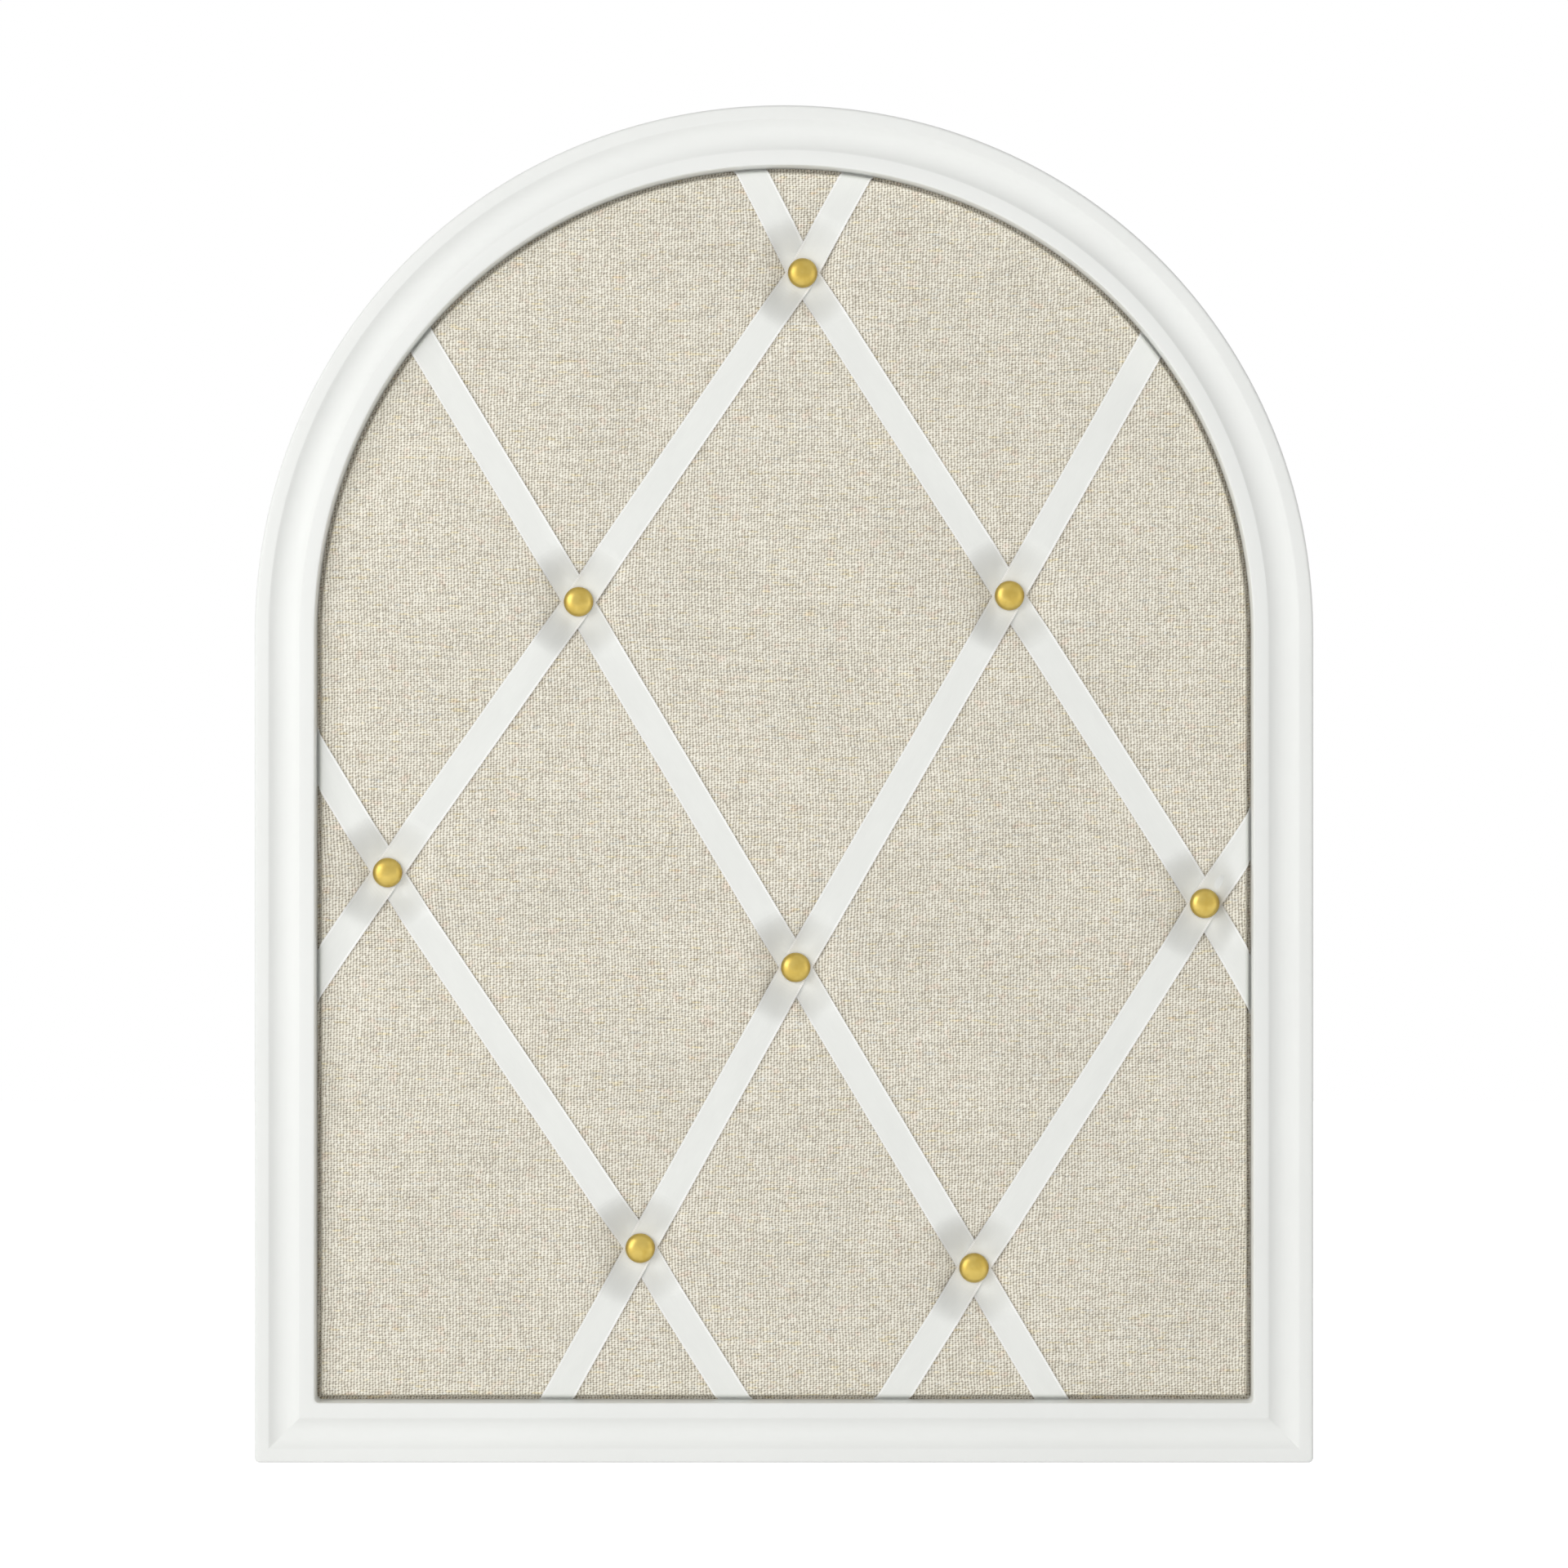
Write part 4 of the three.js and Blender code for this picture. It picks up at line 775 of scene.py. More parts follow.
def ribbon_exit(tack, aim, normal, offset):
    """Where each long line of a ribbon meets the start of the roll, and how it goes on round the edge.

    Lines start at the tack, offset along the normal, and run to the aim. Returns the points there, the slip
    along the edge for each millimetre outwards, the side of the edge that a positive offset lies on, and a
    function that places a shift along the edge at an inset.
    """
    heading = (aim - tack) / np.hypot(*(aim - tack))
    start = tack + offset[:, None] * normal
    side = np.sign(heading[0])
    to_side = (side * (ARCH_RADIUS - ROLL_INSET) - start[:, 0]) / heading[0]
    to_bottom = (BOTTOM_Z + ROLL_INSET - start[:, 1]) / heading[1]
    middle = len(offset) // 2
    hits_side = heading[1] > 0 or to_side[middle] < to_bottom[middle]
    travel = to_side if hits_side else to_bottom
    hit = start + travel[:, None] * heading
    if heading[1] > 0 and hit[:, 1].max() > SPRING_Z:
        travel = np.zeros(len(offset))
        for _ in range(EXIT_STEPS):
            hit = start + travel[:, None] * heading
            angle, inset = arch_foot(hit[:, 0], hit[:, 1])
            travel = travel + (inset - ROLL_INSET)
        hit = start + travel[:, None] * heading
        angle = arch_foot(hit[:, 0], hit[:, 1])[0]
        centre = angle[np.argmin(np.abs(offset))]
        inward = np.array(arch_station(np.array([centre]))[2:])[:, 0]
        along = np.array([inward[1], -inward[0]])
        shift = (angle - centre) * (ARCH_RADIUS - ROLL_INSET)

        def place(coordinate, inset):
            """Point at a shift along the arch and an inset."""
            edge_x, edge_z, in_x, in_z = arch_station(centre + coordinate / (ARCH_RADIUS - ROLL_INSET))
            return edge_x + in_x * inset, edge_z + in_z * inset

    elif hits_side:
        inward = np.array([-side, 0.0])
        along = np.array([0.0, 1.0])
        level = hit[np.argmin(np.abs(offset)), 1]
        shift = hit[:, 1] - level

        def place(coordinate, inset):
            """Point at a shift up the side and an inset."""
            return side * (ARCH_RADIUS - inset), level + coordinate

    else:
        inward = np.array([0.0, 1.0])
        along = np.array([1.0, 0.0])
        level = hit[np.argmin(np.abs(offset)), 0]
        shift = hit[:, 0] - level

        def place(coordinate, inset):
            """Point at a shift along the bottom and an inset."""
            return level + coordinate, BOTTOM_Z + inset

    slip = (heading @ along) / -(heading @ inward)
    return hit, shift, slip, np.sign(normal @ along), place


def ribbon_end(tack, aim, normal, offset, lift):
    """Rows of x, depth and z from the roll to the stapled tail, and the points where the face part ends.

    On the roll a ribbon keeps its slant. Round the board's edge it is drawn square to the edge.
    """
    hit, shift, slip, hand, place = ribbon_exit(tack, aim, normal, offset)
    inset, depth = edge_rows(lift, RIBBON_ROLL_ROWS)
    back = BOARD_BACK + lift
    inset = np.vstack([inset, np.repeat(TAIL_INSETS[:, None], len(lift), axis=1)])
    depth = np.vstack([depth, back[None, :] - TAIL_DROPS[:, None]])
    outer = np.maximum.accumulate(ROLL_INSET - inset, axis=0)
    row = np.arange(len(inset), dtype=float)
    square = smooth_step(SQUARE_START_ROW, SQUARE_END_ROW, row)[:, None]
    coordinate = slip * outer + (1.0 - square) * shift + square * hand * offset
    x, z = place(coordinate, inset)
    return hit, np.stack([np.broadcast_to(x, depth.shape), depth, np.broadcast_to(z, depth.shape)], axis=-1)


def ribbon_surface(name, width):
    """Points, faces, flat coordinates, length and rise of one ribbon.

    It runs from tail to tail: round the board's edge, straight through its tacks, and round the edge again.
    On the face every point lies at the linen's depth less the ribbon's lift. A rising ribbon is raised where
    it passes over a falling one. The rise is the linen's height over the pad's crown, which a dip lowers.
    """
    corners = route_points(name)
    runs = np.diff(corners, axis=0)
    headings = runs / np.linalg.norm(runs, axis=1, keepdims=True)
    normals = np.column_stack([-headings[:, 1], headings[:, 0]])
    tacks = corners[1:-1]
    tack_normals = normals[:-1] + normals[1:]
    tack_normals /= np.linalg.norm(tack_normals, axis=1, keepdims=True)
    offset, lift = ribbon_section(width)
    start_hit, start_rows = ribbon_end(tacks[0], corners[0], normals[0], offset, lift)
    end_hit, end_rows = ribbon_end(tacks[-1], corners[-1], normals[-1], offset, lift)
    stops = [start_hit]
    stops += [tack + offset[:, None] * normal for tack, normal in zip(tacks, tack_normals)]
    stops += [end_hit]
    face = []
    for first, last in zip(stops[:-1], stops[1:]):
        count = int(np.linalg.norm(last - first, axis=1).mean() / RIBBON_ROW_STEP) + 2
        share = np.linspace(0.0, 1.0, count)[1:, None, None]
        face.append(first + share * (last - first))
    face = np.vstack(face)[:-1]
    raised = np.zeros(face.shape[:2])
    if name.startswith("rising"):
        for tack in tacks:
            away = np.hypot(face[..., 0].mean(1) - tack[0], face[..., 1].mean(1) - tack[1])
            raised = np.maximum(raised, (1.0 - smooth_step(CROSSING_START, CROSSING_END, away))[:, None])
    linen = linen_depth(face[..., 0], face[..., 1])
    depth = linen - (lift - LINEN_LIFT) - CROSSING_RAISE * raised
    rise = np.zeros((len(start_rows) + len(face) + len(end_rows), len(offset)))
    rise[len(start_rows):len(start_rows) + len(face)] = crown_depth(face[..., 0], face[..., 1]) - linen
    face_rows = np.stack([face[..., 0], depth, face[..., 1]], axis=-1)
    grid = np.vstack([start_rows[::-1], face_rows, end_rows])
    middle = grid[:, len(offset) // 2]
    run = np.cumsum(lines(0.0, np.linalg.norm(np.diff(middle, axis=0), axis=1)))
    across = np.broadcast_to(offset, grid.shape[:2])
    along = np.repeat(run[:, None], len(offset), axis=1)
    flat = np.stack([across, along], axis=-1)
    grid = grid - np.array([0.0, WALL_DEPTH, 0.0])
    return grid, tube_faces(*grid.shape[:2]), flat, run[-1], rise


def ribbon_staples():
    """Middle and direction of the staple in every ribbon tail, named as in the CAD part."""
    places = {}
    for name in RIBBON_ROUTES:
        corners = route_points(name)
        for end, tack, aim in (("start", corners[1], corners[0]), ("end", corners[-2], corners[-1])):
            heading = (aim - tack) / np.hypot(*(aim - tack))
            normal = np.array([-heading[1], heading[0]])
            _, _, slip, _, place = ribbon_exit(tack, aim, normal, np.array([0.0]))
            shift = slip * (ROLL_INSET - PANEL_INSET + RIBBON_LIFT)
            middle = np.ravel(place(np.array([shift]), np.array([STAPLE_INSET])))
            ahead = np.ravel(place(np.array([shift + 1.0]), np.array([STAPLE_INSET])))
            places[name + "_" + end] = (middle, (ahead - middle) / np.hypot(*(ahead - middle)))
    return places


# Tacks and hardware


def tack_profile():
    """Radii and heights of a domed tack, from the top of the dome over the rim to the point of its shank.

    The dome's height falls as one minus the radius share to a power, rooted, so it steepens at the rim.
    """
    share = np.sin(np.linspace(0.0, np.pi / 2, 22))
    fall = np.maximum(1.0 - share**TACK_DOME_POWER, 0.0) ** TACK_DOME_ROOT
    dome = TACK_RIM + (TACK_DOME - TACK_RIM) * fall
    radius = lines(share * TACK_RADIUS, TACK_RADIUS, TACK_UNDER_RADII)
    height = lines(dome, TACK_EDGE, TACK_UNDER_HEIGHTS)
    return radius, height


def screw_surface(centre, turn):
    """Pan head on a plain shank: height over a polar grid, less the depth of the cross cut into it."""
    angle = np.linspace(0.0, 2.0 * np.pi, SCREW_SIDES, endpoint=False)
    top = np.linspace(0.0, SCREW_HEAD_RADIUS, SCREW_RINGS)
    share = top / SCREW_HEAD_RADIUS
    fall = np.maximum(1.0 - share**SCREW_DOME_POWER, 0.0) ** SCREW_DOME_ROOT
    dome = SCREW_RIM + (SCREW_HEIGHT - SCREW_RIM) * fall
    radius = lines(top, SCREW_HEAD_RADIUS, SCREW_SHANK_RADIUS, SCREW_SHANK_RADIUS, 0.0)
    height = lines(dome, 0.0, 0.0, -SCREW_BITE, -SCREW_BITE)
    across = radius[:, None] * np.cos(angle)
    along = radius[:, None] * np.sin(angle)

    def bar(u, v):
        """One bar of the cross: 1 inside it, 0 outside, with soft edges."""
        return (1.0 - smooth_step(*CROSS_HALF, np.abs(u))) * (1.0 - smooth_step(*CROSS_REACH, np.abs(v)))

    cut = np.maximum(bar(across, along), bar(along, across))
    cut[len(top):] = 0.0
    y = height[:, None] - SCREW_RECESS * cut
    x = centre[0] + across * np.cos(turn) - along * np.sin(turn)
    z = centre[2] + across * np.sin(turn) + along * np.cos(turn)
    return np.stack([x, centre[1] + y, z], axis=-1), [grid_faces(len(radius), SCREW_SIDES, close_cols=True)]


def button_surface(pivot, heading):
    """Bar with round ends and eased edges: rings round its middle line, from under side to upper side."""
    half = BUTTON_WIDTH / 2
    span = BUTTON_LENGTH - BUTTON_WIDTH
    near = arc([0.0, 0.0], 1.0, 90, 270, BUTTON_END_POINTS)
    far = arc([0.0, 0.0], 1.0, -90, 90, BUTTON_END_POINTS)
    ring = np.vstack([near, far])
    start = np.repeat([0.0, span], BUTTON_END_POINTS)
    ease = BUTTON_EASE
    part = 0.3 * ease
    size = lines(0.0, half - ease, half - part, half, half, half - part, half - ease, half - 2 * ease, 0.0)
    top = BUTTON_THICKNESS
    level = lines(0.0, 0.0, part, ease, top - ease, top - part, top - BUTTON_CROWN, top, top)
    along = start + size[:, None] * ring[:, 0]
    across = size[:, None] * ring[:, 1]
    x = pivot[0] + along * heading[0] - across * heading[1]
    z = pivot[1] + along * heading[1] + across * heading[0]
    y = np.broadcast_to(HARDWARE_SEAT_Y + level[:, None], x.shape)
    return np.stack([x, y, z], axis=-1), [grid_faces(len(size), len(ring), close_cols=True)]


def strap_surface(side):
    """Flat strap that curls round the ring's bar: an eased flat section carried up a straight and an arc."""
    middle = STRAP_THICKNESS / 2
    radius = STRAP_CURL_RADIUS + middle
    flat = np.linspace(-STRAP_LENGTH, 0.0, 12)[:-1]
    curl = np.radians(np.linspace(180.0, 180.0 - STRAP_CURL, 26))
    y = RING_AXIS_Y + lines(np.full(len(flat), -radius), radius * np.cos(curl))
    z = RING_AXIS_Z + lines(flat, radius * np.sin(curl))
    path = np.column_stack([np.full(len(y), side * HANGER_X), y, z])
    ahead = tangents(path)
    ahead[:len(flat)] = [0.0, 0.0, 1.0]
    across = np.tile([1.0, 0.0, 0.0], (len(path), 1))
    up = np.cross(across, ahead)
    half = STRAP_WIDTH / 2
    ease = STRAP_EASE
    corner = [arc([sx * (half - ease), sy * (middle - ease)], ease, start, start + 90, 4)
              for sx, sy, start in ((1, 1, 0), (-1, 1, 90), (-1, -1, 180), (1, -1, 270))]
    section = np.vstack(corner)
    round_end = np.ones(len(path))
    round_end[:STRAP_END_ROWS] = np.sqrt(np.linspace(STRAP_END_NARROW, 1.0, STRAP_END_ROWS))
    return sweep(path, across * round_end[:, None], up, section)


def ring_surface(side):
    """D-ring of round wire: bar, corners, legs and bow in one closed path, hanging from the strap's curl."""
    top = RING_AXIS_Z
    leg = RING_HALF_WIDTH
    bend = RING_CORNER
    bow_z = top + leg - RING_DROP
    bar = np.column_stack([np.linspace(-leg + bend, leg - bend, 14), np.full(14, top)])
    right = arc([leg - bend, top - bend], bend, 90, 0, 8)[1:]
    bow = arc([0.0, bow_z], leg, 0, -180, 40)
    left = arc([bend - leg, top - bend], bend, 180, 90, 8)[:-1]
    plan = np.vstack([bar, right, bow, left])
    path = np.column_stack([side * HANGER_X + plan[:, 0], np.full(len(plan), RING_AXIS_Y), plan[:, 1]])
    ahead = tangents(path, closed=True)
    out = np.tile([0.0, 1.0, 0.0], (len(path), 1))
    section = arc([0.0, 0.0], RING_WIRE / 2, 0, 360, 17)[:-1]
    return sweep(path, np.cross(out, ahead), out, section, closed=True)


def staple_surface(middle, heading, crown_y, length, sides):
    """Wire staple: leg, rounded shoulder, crown and leg as a round section carried along one path."""
    wire = STAPLE_WIRE
    half = length / 2 - wire / 2
    bend = wire * STAPLE_BEND
    crown = crown_y - wire / 2
    right = arc([half - bend, crown - bend], bend, 90, 0, 4)
    left = arc([bend - half, crown - bend], bend, 180, 90, 4)
    foot = crown_y - STAPLE_LEG
    plan = np.vstack([[[-half, foot]], left, right, [[half, foot]]])
    direction = np.array([heading[0], 0.0, heading[1]])
    origin = np.array([middle[0], 0.0, middle[1]])
    path = origin + plan[:, :1] * direction + plan[:, 1:] * np.array([0.0, 1.0, 0.0])
    ahead = tangents(path)
    side = np.tile(np.cross(direction, [0.0, 1.0, 0.0]), (len(path), 1))
    section = arc([0.0, 0.0], wire / 2, 0, 360, sides + 1)[:-1]
    return sweep(path, side, np.cross(ahead, side), section)


def bumper_profile():
    """Radii and heights of a rubber bumper: base, soft shoulder and flat face."""
    base = BUMPER_DIAMETER / 2
    face = BUMPER_FACE / 2
    height = BUMPER_HEIGHT
    shoulder = base - face
    curve = arc([face, height - shoulder], shoulder, 0, 90, 9)
    radius = lines(0.0, base - BUMPER_FOOT, base, curve[:, 0], face * 0.5, 0.0)
    rise = lines(0.0, 0.0, BUMPER_FOOT, curve[:, 1], height - BUMPER_DISH, height - BUMPER_DISH)
    return radius, np.minimum(rise, height)


def nail_surface(side):
    """Back edge of the V-nail: an L of thin strip across the mitre, level with the back of the frame."""
    low = V_NAIL_EDGE
    high = low + V_NAIL_LEG
    inner = low + V_NAIL_THICKNESS
    outline = np.array([[low, low], [high, low], [high, inner], [inner, inner], [inner, high], [low, high]])
    count = len(outline)
    x = side * (ARCH_RADIUS - outline[:, 0])
    z = BOTTOM_Z + outline[:, 1]
    back = BACK_FACE_Y + NAIL_PROUD
    front = BACK_FACE_Y - V_NAIL_HEIGHT
    rows = [np.column_stack([x, np.full(count, y), z]) for y in (front, back)]
    return np.stack(rows), tube_faces(len(rows), count)


def button_places():
    """Pivot and pointing direction of each turn button: two each on the arch, the stiles and the rail."""
    places = {}
    for name, side in (("left", -1), ("right", 1)):
        angle = np.radians([90.0 - side * ARCH_BUTTON_ANGLE])
        edge_x, edge_z, in_x, in_z = (value[0] for value in arch_station(angle))
        pivot = (edge_x + LAND_INSET * in_x, edge_z + LAND_INSET * in_z)
        places["arch_" + name] = (pivot, (in_x, in_z))
        stile = (side * (ARCH_RADIUS - LAND_INSET), BOTTOM_Z + STILE_BUTTON_HEIGHT)
        places["stile_" + name] = (stile, (-side, 0.0))
        rail = (side * RAIL_BUTTON_SPREAD, BOTTOM_Z + LAND_INSET)
        places["rail_" + name] = (rail, (0.0, 1.0))
    return places


def hem_staple_places(buttons, tails):
    """Places for the hem's staples on the panel's back, clear of the buttons' swing and the ribbon tails."""
    base, step = pad_stations(*HEM_STAPLE_STATIONS)
    middle = base + HEM_STAPLE_INSET * step
    keep = np.ones(len(middle), bool)
    for pivot, _ in buttons.values():
        keep &= np.hypot(middle[:, 0] - pivot[0], middle[:, 1] - pivot[1]) > BUTTON_LENGTH + BUTTON_CLEARANCE
    for tail, _ in tails.values():
        keep &= np.hypot(middle[:, 0] - tail[0], middle[:, 1] - tail[1]) > HEM_STAPLE_CLEARANCE
    spread = np.arange(len(middle)) % 2 == 0
    keep &= spread | (middle[:, 1] < SPRING_Z)
    inward = step / np.linalg.norm(step, axis=1, keepdims=True)
    return middle[keep], np.column_stack([inward[keep, 1], -inward[keep, 0]])


# Finishes


class Finish:
    """Short calls that build one procedural material round a Principled shader."""

    def __init__(self, name, **constants):
        self.material = bpy.data.materials.new(name)
        self.material.use_nodes = True
        self.tree = self.material.node_tree
        self.shader = next(node for node in self.tree.nodes if node.type == "BSDF_PRINCIPLED")
        for socket, value in constants.items():
            self.shader.inputs[socket.replace("_", " ").title().replace("Ior", "IOR")].default_value = value

    def add(self, kind, **settings):
        """Adds a node and sets its options."""
        node = self.tree.nodes.new("ShaderNode" + kind)
        for option, value in settings.items():
            setattr(node, option, value)
        return node

    def feed(self, socket, value):
        """Links a socket to another node's output, or sets its number."""
        if isinstance(value, bpy.types.NodeSocket):
            self.tree.links.new(value, socket)
        else:
            socket.default_value = value

    def math(self, operation, first, second=0.0, third=0.0):
        """One step of arithmetic."""
        node = self.add("Math", operation=operation)
        for socket, value in zip(node.inputs, (first, second, third)):
            self.feed(socket, value)
        return node.outputs[0]

    def place(self, source="Object"):
        """Object coordinates, or the piece's own cloth coordinates, split into x, y and z."""
        coordinates = self.add("TexCoord")
        split = self.add("SeparateXYZ")
        self.feed(split.inputs[0], coordinates.outputs[source])
        return split.outputs

    def point(self, x=0.0, y=0.0, z=0.0):
        """Joins three numbers into a place."""
        node = self.add("CombineXYZ")
        for socket, value in zip(node.inputs, (x, y, z)):
            self.feed(socket, value)
        return node.outputs[0]

    def noise(self, place, scale=1.0, detail=2.0, roughness=0.5):
        """Smooth noise at a place."""
        node = self.add("TexNoise")
        self.feed(node.inputs["Vector"], place)
        node.inputs["Scale"].default_value = scale
        node.inputs["Detail"].default_value = detail
        node.inputs["Roughness"].default_value = roughness
        return node.outputs[0]

    def drawn_noise(self, axes, factors, scale=1.0, detail=2.0, roughness=0.5, layer=0.0):
        """Smooth noise drawn out along its axes: each coordinate is multiplied by its own factor."""
        parts = [self.math("MULTIPLY", axis, factor) for axis, factor in zip(axes, factors)]
        if len(parts) == 2:
            parts.append(layer)
        return self.noise(self.point(*parts), scale, detail, roughness)

    def scatter(self, place):
        """A number between zero and one by chance, the same everywhere in one step of the place."""
        node = self.add("TexWhiteNoise", noise_dimensions="3D")
        self.feed(node.inputs["Vector"], place)
        return node.outputs["Value"]

    def ramp(self, value, low, high, start=0.0, end=1.0):
        """Carries a range of numbers onto another with a soft step, held at both ends."""
        node = self.add("MapRange", interpolation_type="SMOOTHSTEP")
        for socket, number in zip(node.inputs, (value, low, high, start, end)):
            self.feed(socket, number)
        return node.outputs[0]

    def span(self, noise, start, end):
        """Carries the usual span of a noise onto a range of numbers."""
        return self.ramp(noise, NOISE_LOW, NOISE_HIGH, start, end)

    def mix(self, share, first, second, blend="MIX"):
        """Mixes two colours."""
        node = self.add("Mix", data_type="RGBA", blend_type=blend)
        self.feed(node.inputs[0], share)
        for socket, colour in ((node.inputs[6], first), (node.inputs[7], second)):
            self.feed(socket, colour if isinstance(colour, bpy.types.NodeSocket) else (*colour[:3], 1.0))
        return node.outputs[2]

    def tone(self, colour, factor):
        """Multiplies a colour by a number."""
        node = self.add("VectorMath", operation="SCALE")
        self.feed(node.inputs[0], colour if isinstance(colour, bpy.types.NodeSocket) else tuple(colour[:3]))
        self.feed(node.inputs["Scale"], factor)
        return node.outputs[0]

    def bump(self, height, distance, strength=1.0, over=None):
        """Raises the surface by a height, over a bump made before."""
        node = self.add("Bump")
        node.inputs["Strength"].default_value = strength
        node.inputs["Distance"].default_value = distance
        self.feed(node.inputs["Height"], height)
        if over is not None:
            self.feed(node.inputs["Normal"], over)
        self.feed(self.shader.inputs["Normal"], node.outputs[0])
        return node.outputs[0]

    def finish(self, colour, roughness=None):
        """Feeds colour and roughness to the shader and returns the material."""
        self.feed(self.shader.inputs["Base Color"], colour)
        if roughness is not None:
            self.feed(self.shader.inputs["Roughness"], roughness)
        return self.material


def lacquer_finish(colour):
    """Satin white lacquer: faint tonal drift, sprayed texture and slightly uneven gloss."""
    make = Finish("white_lacquer", specular_ior_level=0.28)
    place = make.add("TexCoord").outputs["Object"]
    drift = make.noise(place, 14.0, 3.0)
    spray = make.noise(place, 1500.0, 2.0)
    flow = make.noise(place, 190.0, 2.0)
    tint = make.tone(colour, make.ramp(drift, 0.25, 0.75, 0.985, 1.012))
    make.bump(make.math("MULTIPLY_ADD", flow, 3.0, spray), 0.00003, 0.5)
    return make.finish(tint, make.span(flow, 0.42, 0.54))


def bare_wood_finish(name, colour, level):
    """Bare moulding wood on the back.

    It has long soft grain along a level or an upright length, pores and a mist of white overspray.
    """
    make = Finish(name, specular_ior_level=0.25)
    x, y, z = make.place()
    if level:
        x, z = z, x
    ring = make.drawn_noise((x, y, z), (60.0, 420.0, 22.0), 1.0, 4.0, 0.6)
    fibre = make.drawn_noise((x, y, z), (300.0, 900.0, 120.0), 3.0, 3.0, 0.7)
    grain = make.math("MULTIPLY_ADD", fibre, 0.35, ring)
    dark = [channel * share for channel, share in zip(colour, (0.66, 0.56, 0.45))]
    wood = make.mix(make.ramp(grain, 0.45, 0.9), colour, dark)
    mist = make.noise(make.point(x, y, z), 55.0, 5.0, 0.65)
    wood = make.mix(make.ramp(mist, 0.56, 0.8, 0.0, 0.3), wood, (0.83, 0.83, 0.8))
    make.bump(grain, 0.00012, 0.5)
    return make.finish(wood, make.span(fibre, 0.6, 0.8))


def fibreboard_finish(colour):
    """Pressed fibreboard: matted short fibres, dark and pale flecks."""
    make = Finish("pressed_fibreboard", specular_ior_level=0.2)
    place = make.add("TexCoord").outputs["Object"]
    matted = make.noise(place, 380.0, 6.0, 0.7)
    cloud = make.noise(place, 30.0, 3.0)
    dark = [channel * 0.6 for channel in colour]
    pale = [min(channel * 1.5, 1.0) for channel in colour]
    board = make.mix(make.ramp(matted, 0.4, 0.62), dark, colour)
    board = make.mix(make.ramp(matted, 0.62, 0.75), board, pale)
    board = make.tone(board, make.span(cloud, 0.92, 1.06))
    make.bump(matted, 0.0002, 0.6)
    return make.finish(board, make.span(matted, 0.85, 0.7))


def foam_finish(colour):
    """Open foam: small cells and a slight yellowing."""
    make = Finish("pad_foam", specular_ior_level=0.15)
    place = make.add("TexCoord").outputs["Object"]
    cells = make.noise(place, 900.0, 4.0, 0.65)
    age = make.noise(place, 20.0, 2.0)
    tint = make.tone(colour, make.ramp(cells, 0.35, 0.65, 0.8, 1.0))
    make.bump(cells, 0.0003, 0.7)
    return make.finish(tint, make.span(age, 0.85, 0.95))


def brass_finish(colour):
    """Brass with a soft, slightly uneven lustre."""
    make = Finish("tack_brass", metallic=1.0)
    place = make.add("TexCoord").outputs["Object"]
    cloud = make.noise(place, 240.0, 3.0)
    fine = make.noise(place, 2600.0, 2.0)
    aged = [channel * share for channel, share in zip(colour, (0.9, 0.86, 0.72))]
    tint = make.mix(make.ramp(cloud, 0.35, 0.7), colour, aged)
    make.bump(make.math("MULTIPLY_ADD", cloud, 2.0, fine), 0.000012, 0.4)
    return make.finish(tint, make.span(cloud, 0.32, 0.42))


def steel_finish(colour):
    """Zinc-plated steel: cloudy plating and fine rubbed lines."""
    make = Finish("plated_steel", metallic=1.0)
    x, y, z = make.place()
    cloud = make.noise(make.point(x, y, z), 420.0, 4.0, 0.6)
    rub = make.drawn_noise((x, y, z), (600.0, 600.0, 5200.0))
    dull = [channel * 0.88 for channel in colour]
    tint = make.mix(make.ramp(cloud, 0.35, 0.68), colour, dull)
    make.bump(rub, 0.00001, 0.3)
    return make.finish(tint, make.span(cloud, 0.3, 0.4))


def rubber_finish(colour):
    """Soft moulded rubber: fine matt grain and dusty patches."""
    make = Finish("bumper_rubber", specular_ior_level=0.35)
    place = make.add("TexCoord").outputs["Object"]
    grain = make.noise(place, 3000.0, 3.0)
    dust = make.noise(place, 160.0, 4.0)
    dusty = [0.7 * channel + 0.06 for channel in colour]
    tint = make.mix(make.ramp(dust, 0.45, 0.75, 0.0, 0.6), colour, dusty)
    make.bump(grain, 0.00004, 0.6)
    return make.finish(tint, make.span(dust, 0.55, 0.75))


